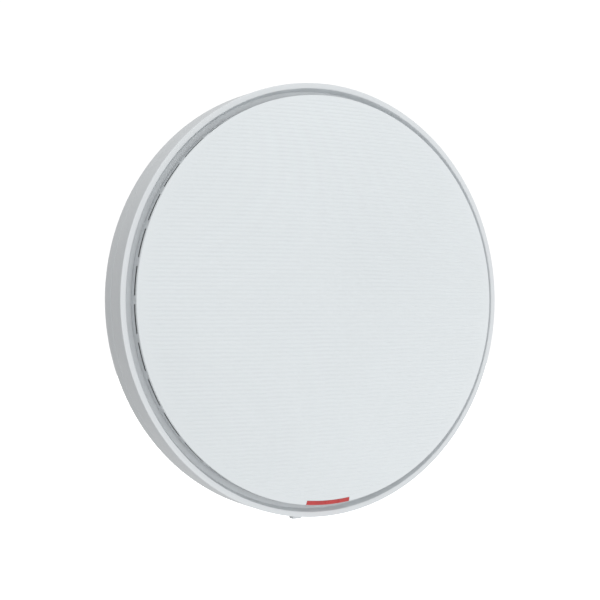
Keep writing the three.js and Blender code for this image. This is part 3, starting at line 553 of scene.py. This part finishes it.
def dress_frame():
    """Gives every CAD node that stays in view its procedural material."""
    for name, node in frame["nodes"].items():
        node.data.materials.clear()
        node.data.materials.append(MATERIALS[NODE_SLOTS[name]])


def finish_piece(obj, body, slot, *nodes):
    """Rides a body, takes a material slot and stands for its CAD nodes."""
    obj.data.materials.clear()
    obj.data.materials.append(MATERIALS[slot])
    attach(obj, body)
    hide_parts(*nodes)
    return obj


# ---- the front ----


def dome_depth(radius):
    ratio = radius / COVER_RADIUS
    return COVER_EDGE_DEPTH + DOME_QUADRATIC * (1 - ratio**2) + DOME_QUARTIC * (1 - ratio**4)


def rib_drop(z, radius):
    """How far the face drops below the dome between two ribs; nothing at the smooth rim."""
    across = abs(math.sin(math.pi * (z - RIB_OFFSET) / RIB_PITCH))
    to_rim = (RIB_FIELD_RADIUS - radius) / RIB_FADE
    return RIB_DEPTH * (1 - across) * min(1, max(0, to_rim))


def rib_rows():
    """The level rows of points that cover the ribbed face, bottom to top."""
    step = RIB_PITCH / RIB_SAMPLES
    count = int(RIB_FIELD_RADIUS / step)
    rows = []
    for i in range(-count, count + 1):
        z = i * step
        half = math.sqrt(max(RIB_FIELD_RADIUS**2 - z * z, 1e-3))
        row = []
        for j in range(RIB_COLUMNS + 1):
            x = half * (2 * j / RIB_COLUMNS - 1)
            radius = math.hypot(x, z)
            row.append((x, -(dome_depth(radius) - rib_drop(z, radius)), z))
        rows.append(row)
    return rows


def cover_rim_outline():
    """From the edge of the ribbed face, round the rim and back under the dome, as (radius, depth)."""
    edge = COVER_RADIUS
    round_start = edge - COVER_EDGE_ROUND
    points = [(r, dome_depth(r)) for r in (101.6, 102.2, round_start)]
    top = dome_depth(round_start)
    for k in range(1, 6):
        turn = math.radians(18 * k)
        out, down = COVER_EDGE_ROUND * math.sin(turn), COVER_EDGE_ROUND * (1 - math.cos(turn))
        points.append((round_start + out, top - down))
    points += [
        (edge, COVER_UNDERSIDE_DEPTH + 0.15),
        (edge - 0.15, COVER_UNDERSIDE_DEPTH),
        (99.5, COVER_UNDERSIDE_DEPTH),
    ]
    inside = (98.7, 93, 84, 70, 50, 25)
    return points + [(r, dome_depth(r) - COVER_THICKNESS) for r in inside]


def front_cover():
    rows = rib_rows()
    width = RIB_COLUMNS + 1
    verts = [point for row in rows for point in row]
    faces = []
    for i in range(len(rows) - 1):
        for j in range(RIB_COLUMNS):
            a = i * width + j
            faces.append((a, a + 1, a + width + 1, a + width))
    last = len(rows) - 1
    rim = list(range(width))
    rim += [i * width + RIB_COLUMNS for i in range(1, last)]
    rim += [last * width + j for j in range(RIB_COLUMNS, -1, -1)]
    rim += [i * width for i in range(last - 1, 0, -1)]
    inner = rim
    for radius, depth in cover_rim_outline():
        start = len(verts)
        for index in rim:
            x, _, z = verts[index]
            verts.append(on_ring(radius, depth, math.atan2(z, x)))
        outer = list(range(start, start + len(rim)))
        for k in range(len(rim)):
            following = (k + 1) % len(rim)
            faces.append((inner[k], inner[following], outer[following], outer[k]))
        inner = outer
    centre = len(verts)
    verts.append((0, -(dome_depth(0) - COVER_THICKNESS), 0))
    faces += [(inner[k], inner[(k + 1) % len(rim)], centre) for k in range(len(rim))]
    cover = mesh_object("cover_shell", verts, faces)
    seat = turned(
        "lens_seat",
        rectangle(LENS_INNER_RADIUS - LENS_SEAM, COVER_RADIUS + 2, COVER_UNDERSIDE_DEPTH - 1, 40),
        24, -90 - LENS_HALF_DEGREES - 0.07, 2 * LENS_HALF_DEGREES + 0.14,
    )
    return smooth(cut(join(cover, cover_hooks()), seat), 40)


def rectangle(inner, outer, near, far):
    return [(inner, near), (outer, near), (outer, far), (inner, far)]


def indicator_lens():
    edge = COVER_RADIUS
    round_start = edge - COVER_EDGE_ROUND
    near = COVER_UNDERSIDE_DEPTH + 0.1
    outline = [(LENS_INNER_RADIUS, near), (edge, near)]
    top = dome_depth(round_start)
    for k in range(5, 0, -1):
        turn = math.radians(18 * k)
        out, down = COVER_EDGE_ROUND * math.sin(turn), COVER_EDGE_ROUND * (1 - math.cos(turn))
        outline.append((round_start + out, top - down))
    outline += [(r, dome_depth(r)) for r in (round_start, 102, LENS_INNER_RADIUS)]
    lens = turned("indicator_strip", outline, 32, -90 - LENS_HALF_DEGREES, 2 * LENS_HALF_DEGREES)
    return smooth(bevelled(lens, 0.1), 50)


def vent_ring():
    """A thin wall under the cover's edge with the vent slots through it, their sills falling away inwards."""
    outer = VENT_RING_RADIUS
    inner = outer - VENT_WALL
    ring = turned("vent_wall", rectangle(inner, outer, VENT_RING_NEAR, VENT_RING_FAR + 0.25))
    slot = [
        (outer + 1, VENT_SLOT_NEAR),
        (outer, VENT_SLOT_NEAR),
        (inner, VENT_SLOT_NEAR - 2),
        (inner - 1, VENT_SLOT_NEAR - 2),
        (inner - 1, VENT_SLOT_FAR + 0.4),
        (outer, VENT_SLOT_FAR),
        (outer + 1, VENT_SLOT_FAR),
    ]
    pitch = 360 / VENT_COUNT
    starts = [(k + 0.5) * pitch - VENT_SLOT_DEGREES / 2 for k in range(VENT_COUNT)]
    slots = merged([turned(f"slot_{start}", slot, 6, start, VENT_SLOT_DEGREES) for start in starts])
    return smooth(cut(ring, slots), 50)


def front_bezel():
    tongue = OUTER_RADIUS - 2.6
    outline = rounded([
        (OUTER_RADIUS, PARTING_DEPTH, 0.25),
        (OUTER_RADIUS, LIP_DEPTH, 0.45),
        (LIP_INNER_RADIUS, LIP_DEPTH, 0.4),
        (GROOVE_OUTER_RADIUS, GROOVE_FLOOR_DEPTH, 0.6),
        (86.5, GROOVE_FLOOR_DEPTH, 0.3),
        (86.5, GROOVE_FLOOR_DEPTH - 2, 0.3),
        (tongue - 1.9, GROOVE_FLOOR_DEPTH - 2, 0.8),
        (tongue - 1.9, PARTING_DEPTH - 3, 0.3),
        (tongue, PARTING_DEPTH - 3, 0.3),
        (tongue, PARTING_DEPTH, 0.1),
    ])
    ring = turned("bezel_ring", outline, 320)
    bosses = []
    holes = []
    for degrees in CASE_SCREW_ANGLES:
        x, z = on_circle(CASE_SCREW_CIRCLE, degrees)
        bosses.append(disc(f"boss_{degrees}", 3.4, 8.5, 28, x, z))
        holes.append(disc(f"boss_hole_{degrees}", 1.7, 7.5, 17, x, z))
    half = HOOK_WIDTH / 2 + 0.5
    for k in range(HOOK_COUNT):
        holes.append(turned_to(block(f"window_{k}", 97.2, 100.3, -half, half, 26, 30), 60 * k))
    return smooth(cut(join(ring, *bosses), *holes))


def rear_housing():
    radius = OUTER_RADIUS - 0.05
    inner = OUTER_RADIUS - 2.3
    front = PARTING_DEPTH - 0.3
    outline = rounded([
        (radius, front, 0.25),
        (radius, 10.5, 14),
        (103.4, HOUSING_REAR_DEPTH, 3),
        (100.3, HOUSING_REAR_DEPTH, 0.4),
        (100.3, 5.1, 0.2),
        (97, 5.1, 0.3),
        (97, 7.1, 0.3),
        (103, 7.1, 1.5),
        (inner, 12.5, 3),
        (inner, front, 0.3),
    ], 8)
    return smooth(cut(turned("housing_shell", outline, 320), lock_channel(-112, -96)))


def cover_hooks():
    """Snap hooks that hold the cover to the bezel's floor."""
    root = COVER_UNDERSIDE_DEPTH + 1.3
    half = HOOK_WIDTH / 2
    arm = [(97.6, root), (97.6, 25.6), (99.9, 25.6)]
    barb = [(100.9, 26.3), (100.9, 26.7), (99.9, 26.7), (99.9, root)]
    profile = arm + barb
    loops = [[(radius, -depth, z) for radius, depth in profile] for z in (-half, half)]
    return merged([turned_to(loft(f"hook_{k}", loops), 60 * k) for k in range(HOOK_COUNT)])


# ---- the back ----


def on_circle(radius, degrees):
    angle = math.radians(degrees)
    return radius * math.cos(angle), radius * math.sin(angle)


def lock_channel(bottom, top):
    """The path of the lock's neck through the rear rim, as wide as its travel."""
    reach = LOCK_NECK_HALF_WIDTH + LOCK_CLEARANCE
    return block("lock_channel", -reach - LOCK_TRAVEL, reach, bottom, top, 1, 4.3)


def casting_tub():
    tub = turned("casting", rounded([
        (0, BASE_REAR_DEPTH, 0),
        (BASE_RIM_RADIUS, BASE_REAR_DEPTH, 0.5),
        (BASE_RIM_RADIUS, BASE_RIM_INSIDE, 0.2),
        (BASE_SPIGOT_RADIUS, BASE_RIM_INSIDE, 0.15),
        (BASE_SPIGOT_RADIUS, BASE_FLOOR_INSIDE, 0.4),
        (0, BASE_FLOOR_INSIDE, 0),
    ]), 180)
    relief = cut(
        disc("relief", 94.5, BASE_RIM_INSIDE, BASE_FLOOR_INSIDE + 1, segments=120),
        block("lock_land", -30, 30, -100, -70, 3.3, 10.8),
        extruded("pocket_wall", slot_shape(POCKET_RADIUS + 3, -10.5, 0, steps=40)(0), 3.8, 10.2),
    )
    pocket = slot_shape(POCKET_RADIUS, -SLIDE_TRAVEL - 0.5, 0, steps=60)
    return cut(tub, relief, opening("pocket", pocket, BASE_REAR_DEPTH, POCKET_FLOOR, 0.9, through=False))


def casting_posts():
    """Posts for the board, seats for the case screws and pedestals for the hot chips."""
    posts = [disc(f"post_{x}", 3.5, 7.2, COMPONENT_TOP, x, z) for x, z in BOARD_SCREW_PLACES]
    seats = []
    for degrees in CASE_SCREW_ANGLES:
        x, z = on_circle(CASE_SCREW_CIRCLE, degrees)
        seats.append(disc(f"seat_{degrees}", 4.4, 3.8, BASE_FLOOR_INSIDE, x, z))
    pedestals = []
    for x, z, half in ((0, -16, 14), (-50, -16, 11)):
        shape = box_shape(x - half, x + half, z - half, z + half, 1.5)
        pedestals.append(soft_plate(f"pedestal_{x}", shape, 7.2, 20.9, 0.5))
    return posts + seats + pedestals


def casting_holes():
    reach = BASE_FLOOR_INSIDE
    holes = [disc(f"post_hole_{x}", 1.6, 16, 30, x, z) for x, z in BOARD_SCREW_PLACES]
    for x, z in STUD_PLACES:
        holes.append(opening(f"stud_hole_{x}", circle(2.3, x, z), POCKET_FLOOR, reach, 0.3))
    for degrees in CASE_SCREW_ANGLES:
        x, z = on_circle(CASE_SCREW_CIRCLE, degrees)
        holes.append(disc(f"case_hole_{degrees}", 1.7, 1, reach + 1, x, z))
        bore = circle(3.3, x, z)
        holes.append(opening(f"counterbore_{degrees}", bore, BASE_REAR_DEPTH, 4.2, 0.35, through=False))
    for k in range(EJECTOR_MARKS):
        x, z = on_circle(96.2, 360 / EJECTOR_MARKS * (k + 0.5))
        holes.append(disc(f"ejector_{k}", 1.6, 1, BASE_REAR_DEPTH + 0.2, x, z))
    return holes


def lock_recess():
    """Room for the lock's nose, with a tooth left in it that the nose stands over when it is locked."""
    half = LOCK_NOSE_HALF_WIDTH + LOCK_SIDE_CLEARANCE
    bottom = LOCK_NOSE_BOTTOM - LOCK_CLEARANCE
    top = LOCK_NOSE_TOP + LOCK_CLEARANCE
    deep = LOCK_NOSE_DEPTH + 0.3
    left = -half - LOCK_TRAVEL
    room = block("lock_recess", left, half, bottom - SLIDE_TRAVEL, top, POCKET_FLOOR - 1, deep)
    tooth = block("tooth", left - 1.1, -half, top - SLIDE_TRAVEL, bottom, POCKET_FLOOR - 2, deep + 1)
    return cut(room, tooth)


def base_casting():
    side = RECESS["half_width"] + 2.3
    well = box_shape(-side, side, RECESS["bottom"] - 2.3, RECESS["top"] + 2.3, 1.5)
    solid = join(casting_tub(), *casting_posts())
    tools = casting_holes() + [opening("well_opening", well, POCKET_FLOOR, BASE_FLOOR_INSIDE, 0.25)]
    return smooth(cut(solid, *tools, lock_recess(), lock_channel(-102, -88)))


def port_well():
    half, bottom, top = RECESS["half_width"], RECESS["bottom"], RECESS["top"]
    wall, deep = RECESS["wall"], RECESS["floor"]
    outside = box_shape(-half - wall, half + wall, bottom - wall, top + wall, 2.5)
    rim = box_shape(-half - 4.5, half + 4.5, bottom - 4.5, top + 4.5, 4)
    inside = box_shape(-half, half, bottom, top, 1.6)
    body = soft_plate("well", outside, POCKET_FLOOR, deep + wall, 0.4)
    flange = soft_plate("flange", rim, 8.5, 10)
    tools = [opening("hollow", inside, POCKET_FLOOR, deep, 0.6, through=False)]
    far = COMPONENT_TOP + 1
    for left, right, high in SOCKET_CUTS:
        tools.append(block(f"socket_cut_{left}", left, right, top - 3, top + 3, far - high, far))
    tools.append(upright(disc("reset_hole", 1.95, top - 1, top + 3), RESET_CENTRE, RESET_DEPTH))
    return smooth(cut(join(body, flange), *tools))


def recessed_screw(name, x, z, head, shank, near, far, tip):
    """A pan-head screw with a thread and a cross recess."""
    pitch = 0.8
    outline = rounded([(0, near, 0), (head, near, 0.5), (head, far, 0.15), (shank, far, 0.1)])
    depth = far + 0.5
    while depth < tip - pitch - 1:
        outline += [Vector((shank, depth)), Vector((shank - 0.22, depth + pitch / 2))]
        depth += pitch
    outline += [Vector((shank * 0.7, tip - 0.6)), Vector((0, tip))]
    screw = turned(name, outline, 32)
    width, length = head * 0.12, head * 0.6
    tools = [
        block("bar", -length, length, -width, width, near - 1, near + 0.9),
        block("bar", -width, width, -length, length, near - 1, near + 0.9),
    ]
    return moved(smooth(cut(screw, *tools), 40), x, 0, z)


def mounting_stud(name, x, z):
    """A shouldered stud with a domed head and a hexagonal recess."""
    outline = rounded([(0, 1.7, 0), (4, 1.7, 0.8), (4, 3.6, 0.25), (2, 3.6, 0.15), (2, 10, 0.4), (0, 10, 0)])
    stud = turned(name, outline, HOLE_SEGMENTS)
    return moved(smooth(cut(stud, disc("hexagon", 1.7, 0.5, 2.8, segments=6)), 35), x, 0, z)


def rating_label():
    near, far = depth_range("rating_label")
    return smooth(soft_plate("blank_label", box_shape(-22, 22, 84.5, 95.5, 1.6), near, far, 0.06))


def keyhole(x, z):
    slot = opening(f"keyhole_{x}", slot_shape(2.4, z, z + SLIDE_TRAVEL, x), *BRACKET_WEB, 0.2)
    return [slot, opening(f"keyhole_wide_{x}", circle(4.6, x, z + SLIDE_TRAVEL), *BRACKET_WEB, 0.2)]


def mounting_bracket():
    """Pressed sheet: a middle pad and a rim on the ceiling, with a raised web between."""
    sheet = turned("bracket_sheet", rounded([
        (0, 0, 0), (12, 0, 2.3), (16, 4, 0.8), (64, 4, 0.8), (68, 0, 2.3), (79, 0, 0.3),
        (79, 1.5, 0.5), (68.62, 1.5, 0.8), (64.62, 5.5, 2.3),
        (15.38, 5.5, 2.3), (11.38, 1.5, 0.8), (0, 1.5, 0),
    ]), 200)
    tools = [hole for x, z in STUD_PLACES for hole in keyhole(x, z)]
    for degrees in (45, 135, 225, 315):
        x, z = on_circle(73.5, degrees)
        slot = opening(f"fixing_{degrees}", slot_shape(2.6, -2.1, 2.1), 0, 1.5, 0.2)
        tools.append(moved(turned_to(slot, 90), x, 0, z))
    tools.append(opening("cable_opening", box_shape(-34, 34, 17.5, 49, 5), *BRACKET_WEB, 0.3))
    half = LOCK_NOSE_HALF_WIDTH + LOCK_CLEARANCE
    window = box_shape(
        -half - LOCK_TRAVEL, half, LOCK_NOSE_BOTTOM - LOCK_CLEARANCE, LOCK_NOSE_TOP + LOCK_CLEARANCE, 0.5)
    tools.append(opening("nose_window", window, *BRACKET_WEB, 0.15))
    reach = LOCK_NECK_HALF_WIDTH + LOCK_CLEARANCE
    tools.append(block("neck_notch", -reach - LOCK_TRAVEL, reach, -70, -62, 1.7, 4.2))
    return smooth(cut(sheet, *tools), 35)


def lock_shape(grow):
    """A wide body above a narrow neck that runs down to the rim."""
    wide, neck = LOCK_HALF_WIDTH + grow, LOCK_NECK_HALF_WIDTH + grow
    radius = max(0.05, 0.7 + grow)
    right = [
        (neck, LOCK_TIP - grow, radius),
        (neck, LOCK_SHOULDER - grow, 0.4),
        (wide, LOCK_SHOULDER - grow, radius),
        (wide, LOCK_TOP + grow, radius),
    ]
    left = [(-x, z, corner) for x, z, corner in reversed(right)]
    return rounded(right + left)


def lock_slider():
    plate = soft_plate("lock_plate", lock_shape, 2.2, 3.7, 0.2)
    neck, half = LOCK_NECK_HALF_WIDTH, LOCK_NOSE_HALF_WIDTH
    end_shape = box_shape(-neck, neck, LOCK_TIP, LOCK_TIP + LOCK_END_THICKNESS, 0.5)
    end = soft_plate("lock_end", end_shape, 1, 4.9, 0.3)
    nose_shape = box_shape(-half, half, LOCK_NOSE_BOTTOM, LOCK_NOSE_TOP, 0.4)
    nose = soft_plate("lock_nose", nose_shape, 2.5, LOCK_NOSE_DEPTH, 0.4)
    solid = join(plate, end, nose)
    grooves = merged([block(f"grip_{z}", -6, 6, z, z + 0.5, 1, 2.45) for z in range(-71, -63, 2)])
    return smooth(cut(solid, grooves))


def lock_guide():
    bridge = soft_plate("bridge", box_shape(-14, 9, -47, -37, 1.2), 0.4, 1.9, 0.3)
    feet = []
    welds = []
    for left in (-14, 5.6):
        feet.append(soft_plate(f"foot_{left}", box_shape(left, left + 3.4, -47, -37, 1.2), 0.9, 3.7, 0.3))
        weld = turned(f"weld_{left}", [(0, 0), (1.1, 0), (0.7, 0.65), (0, 0.65)], 24)
        welds.append(moved(weld, left + 1.7, 0, -42))
    return smooth(cut(join(bridge, *feet), merged(welds)))


def contact(name, x, start, end, thickness=0.25, width=0.45):
    """A sprung contact from one (height, depth) to another."""
    (z0, d0), (z1, d1) = start, end
    path = [(z0, d0), (z1, d1), (z1, d1 + thickness), (z0, d0 + thickness)]
    return across(name, path, x - width / 2, x + width / 2)


def ethernet_jack(x, node):
    near, far, bottom = COMPONENT_TOP - 13.7, COMPONENT_TOP, RECESS["top"]
    shell = bevelled(block("jack_shell", x - 8, x + 8, bottom, bottom + 21, near, far), 0.4, 3)
    inside = block("inside", x - 7.6, x + 7.6, bottom - 1, bottom + 20.6, near + 0.4, far - 0.4)
    insert = block("jack_insert", x - 7.5, x + 7.5, bottom + 0.4, bottom + 20.4, near + 0.5, far - 0.5)
    mouth = block("mouth", x - 5.9, x + 5.9, bottom - 1, bottom + 13, near + 3.6, far - 2)
    latch = block("latch", x - 3, x + 3, bottom - 1, bottom + 13, near + 1.4, near + 4)
    root, tip = (bottom + 11, far - 2.3), (bottom + 2.5, far - 5.2)
    springs = [contact(f"spring_{k}", x + (k - 3.5) * CONTACT_PITCH, root, tip) for k in range(8)]
    finish_piece(smooth(cut(shell, inside)), "unit", "tin_plate", node)
    finish_piece(smooth(bevelled(cut(insert, mouth, latch), 0.12)), "unit", "black_plastic", node)
    finish_piece(merged(springs), "unit", "tin_plate", node)


def usb_port():
    near, far, bottom = COMPONENT_TOP - 7, COMPONENT_TOP, RECESS["top"]
    shell = bevelled(block("usb_shell", 0.8, 15.2, bottom, bottom + 14, near, far), 0.6, 3)
    mouth = block("mouth", 1.3, 14.7, bottom - 1, bottom + 11, near + 0.5, far - 0.5)
    tongue = bevelled(block("usb_tongue", 2.4, 13.6, bottom + 0.6, bottom + 12, near + 3.5, near + 5.3), 0.15)
    contacts = []
    for x in (3.5, 6, 8.5, 11):
        contacts.append(block("usb_contact", x, x + 1, bottom + 1.5, bottom + 10, near + 3.35, near + 3.6))
    finish_piece(smooth(cut(shell, mouth)), "unit", "tin_plate", "usb_port")
    finish_piece(smooth(tongue), "unit", "black_plastic", "usb_port")
    finish_piece(merged(contacts), "unit", "tin_plate", "usb_port")


def power_jack():
    near, far, bottom = COMPONENT_TOP - 11, COMPONENT_TOP, RECESS["top"]
    x, depth = 22.5, COMPONENT_TOP - 6
    body = bevelled(block("power_body", 18, 27, bottom, bottom + 14, near, far), 0.5, 3)
    end = bottom + 10
    mouth = [(0, bottom - 1, 0), (3.5, bottom - 1, 0), (3.1, bottom + 0.4, 0.2)]
    bore = rounded(mouth + [(3.1, end, 0), (0, end, 0)])
    pin = rounded([(0, bottom + 1, 0), (1, bottom + 1, 0.6), (1, end + 1, 0), (0, end + 1, 0)])
    body = cut(body, upright(turned("bore", bore, HOLE_SEGMENTS), x, depth))
    finish_piece(smooth(body), "unit", "black_plastic", "power_jack")
    finish_piece(smooth(upright(turned("power_pin", pin, 24), x, depth)), "unit", "tin_plate", "power_jack")


def reset_button():
    outline = rounded([
        (0, 48.6, 0), (1.6, 48.6, 0.5), (1.6, 52.3, 0.1), (2.8, 52.3, 0.15), (2.8, 53.1, 0.15),
        (1.6, 53.1, 0.1), (1.6, 56.2, 0.2), (0, 56.2, 0),
    ])
    return smooth(upright(turned("reset_plunger", outline, HOLE_SEGMENTS), RESET_CENTRE, RESET_DEPTH))


# ---- stage ----

LENS_MM = 72.5
CAMERA_OFFSET = Vector((-0.3146, -0.5274, -0.0013))  # metres, from the middle of the lip
AIM_OFFSET = Vector((-0.0106, 0.0063, 0))
FLOOR_LEVEL = -420
FLOOR_HALF_SIZE = 6000


def camera():
    lip_centre = Vector((0, -LIP_DEPTH, 0)) * MM
    data = bpy.data.cameras.new("camera")
    data.lens = LENS_MM
    data.sensor_width = 36
    data.clip_end = 50
    view = bpy.data.objects.new("camera", data)
    view.location = lip_centre + CAMERA_OFFSET
    direction = lip_centre + AIM_OFFSET - view.location
    view.rotation_euler = direction.to_track_quat("-Z", "Y").to_euler()
    bpy.context.scene.collection.objects.link(view)
    bpy.context.scene.camera = view


def floor():
    size = FLOOR_HALF_SIZE
    corners = [(-size, -size), (size, -size), (size, size), (-size, size)]
    plane = mesh_object("floor", [(x, y, FLOOR_LEVEL) for x, y in corners], [(0, 1, 2, 3)])
    surface = Surface("floor_paint", (0.92, 0.92, 0.92), 0.7)
    surface.tinted(surface.ramp(surface.noise(4), 0, 1), (0.9, 0.9, 0.9))
    surface.shader.inputs["Emission Color"].default_value = (1, 1, 1, 1)
    surface.shader.inputs["Emission Strength"].default_value = 1
    plane.data.materials.append(surface.material)
    surface.material.cycles.emission_sampling = "NONE"
    for ray in ("diffuse", "glossy", "transmission", "shadow"):
        setattr(plane, "visible_" + ray, False)  # it is white to the camera and leaves the light alone


def lobe(tree, direction, amount, sharpness):
    """Light from around one direction, strongest along it: amount * cosine ** sharpness."""
    place = tree.nodes.new("ShaderNodeTexCoord").outputs["Generated"]
    dot = tree.nodes.new("ShaderNodeVectorMath")
    dot.operation = "DOT_PRODUCT"
    dot.inputs[1].default_value = Vector(direction).normalized()
    tree.links.new(place, dot.inputs[0])
    value = dot.outputs["Value"]
    for operation, operand in (("MAXIMUM", 0), ("POWER", sharpness), ("MULTIPLY", amount)):
        node = tree.nodes.new("ShaderNodeMath")
        node.operation = operation
        node.inputs[1].default_value = operand
        tree.links.new(value, node.inputs[0])
        value = node.outputs[0]
    return value


LIGHT_LOBES = [
    ((0, -1, 0), 1.45, 4),
    ((-1, -1, 0), 0.85, 4),
    ((1, 0, 0), 1.15, 4),
    ((0, 1, 0), 1.0, 4),
    ((0, 0, 1), 1.9, 4),
    ((0, 0, -1), 1.15, 4),
    ((1, 0, -1), 0.7, 4),
]


def studio():
    """A plain white room to the camera; its light is soft and comes from the front, the right and above."""
    world = bpy.data.worlds.new("studio")
    bpy.context.scene.world = world
    world.use_nodes = True
    tree = world.node_tree
    tree.nodes.clear()
    total = None
    for direction, amount, sharpness in LIGHT_LOBES:
        value = lobe(tree, direction, amount, sharpness)
        add = tree.nodes.new("ShaderNodeMath")
        add.inputs[0].default_value = 0
        if total is not None:
            tree.links.new(total, add.inputs[0])
        tree.links.new(value, add.inputs[1])
        total = add.outputs[0]
    backgrounds = []
    for strength in (total, 1.05):
        node = tree.nodes.new("ShaderNodeBackground")
        node.inputs["Color"].default_value = (1, 1, 1, 1)
        if strength is total:
            tree.links.new(total, node.inputs["Strength"])
        else:
            node.inputs["Strength"].default_value = strength
        backgrounds.append(node.outputs[0])
    path = tree.nodes.new("ShaderNodeLightPath")
    mix = tree.nodes.new("ShaderNodeMixShader")
    out = tree.nodes.new("ShaderNodeOutputWorld")
    tree.links.new(path.outputs["Is Camera Ray"], mix.inputs["Fac"])
    tree.links.new(backgrounds[0], mix.inputs[1])
    tree.links.new(backgrounds[1], mix.inputs[2])
    tree.links.new(mix.outputs[0], out.inputs["Surface"])


# ---- build ----

camera()
studio()
floor()
bpy.context.scene.view_settings.view_transform = "Standard"
dress_frame()
finish_piece(front_cover(), "unit", "cover_plastic", "front_cover")
finish_piece(indicator_lens(), "unit", "indicator_red", "indicator_lens")
finish_piece(vent_ring(), "unit", "housing_plastic", "vent_ring")
finish_piece(front_bezel(), "unit", "housing_plastic", "front_bezel")
finish_piece(rear_housing(), "unit", "housing_plastic", "rear_housing")
finish_piece(base_casting(), "unit", "cast_metal", "base_casting")
finish_piece(port_well(), "unit", "black_plastic", "port_well")
finish_piece(rating_label(), "unit", "label", "rating_label")
for number, degrees in enumerate(CASE_SCREW_ANGLES, 1):
    place = on_circle(CASE_SCREW_CIRCLE, degrees)
    screw = recessed_screw("case_fastener", *place, 3, 1.4, 2.4, 3.9, 16)
    finish_piece(screw, "unit", "sheet_steel", f"case_screw_{number}")
for number, place in enumerate(STUD_PLACES, 1):
    finish_piece(mounting_stud("stud", *place), "unit", "sheet_steel", f"mounting_stud_{number}")
ethernet_jack(-27, "ethernet_jack_1")
ethernet_jack(-9.5, "ethernet_jack_2")
usb_port()
power_jack()
finish_piece(reset_button(), "reset", "black_plastic", "reset_button")
finish_piece(mounting_bracket(), "bracket", "sheet_steel", "mounting_bracket")
finish_piece(lock_guide(), "bracket", "sheet_steel", "lock_guide")
finish_piece(lock_slider(), "lock", "lock_plastic", "lock_slider")
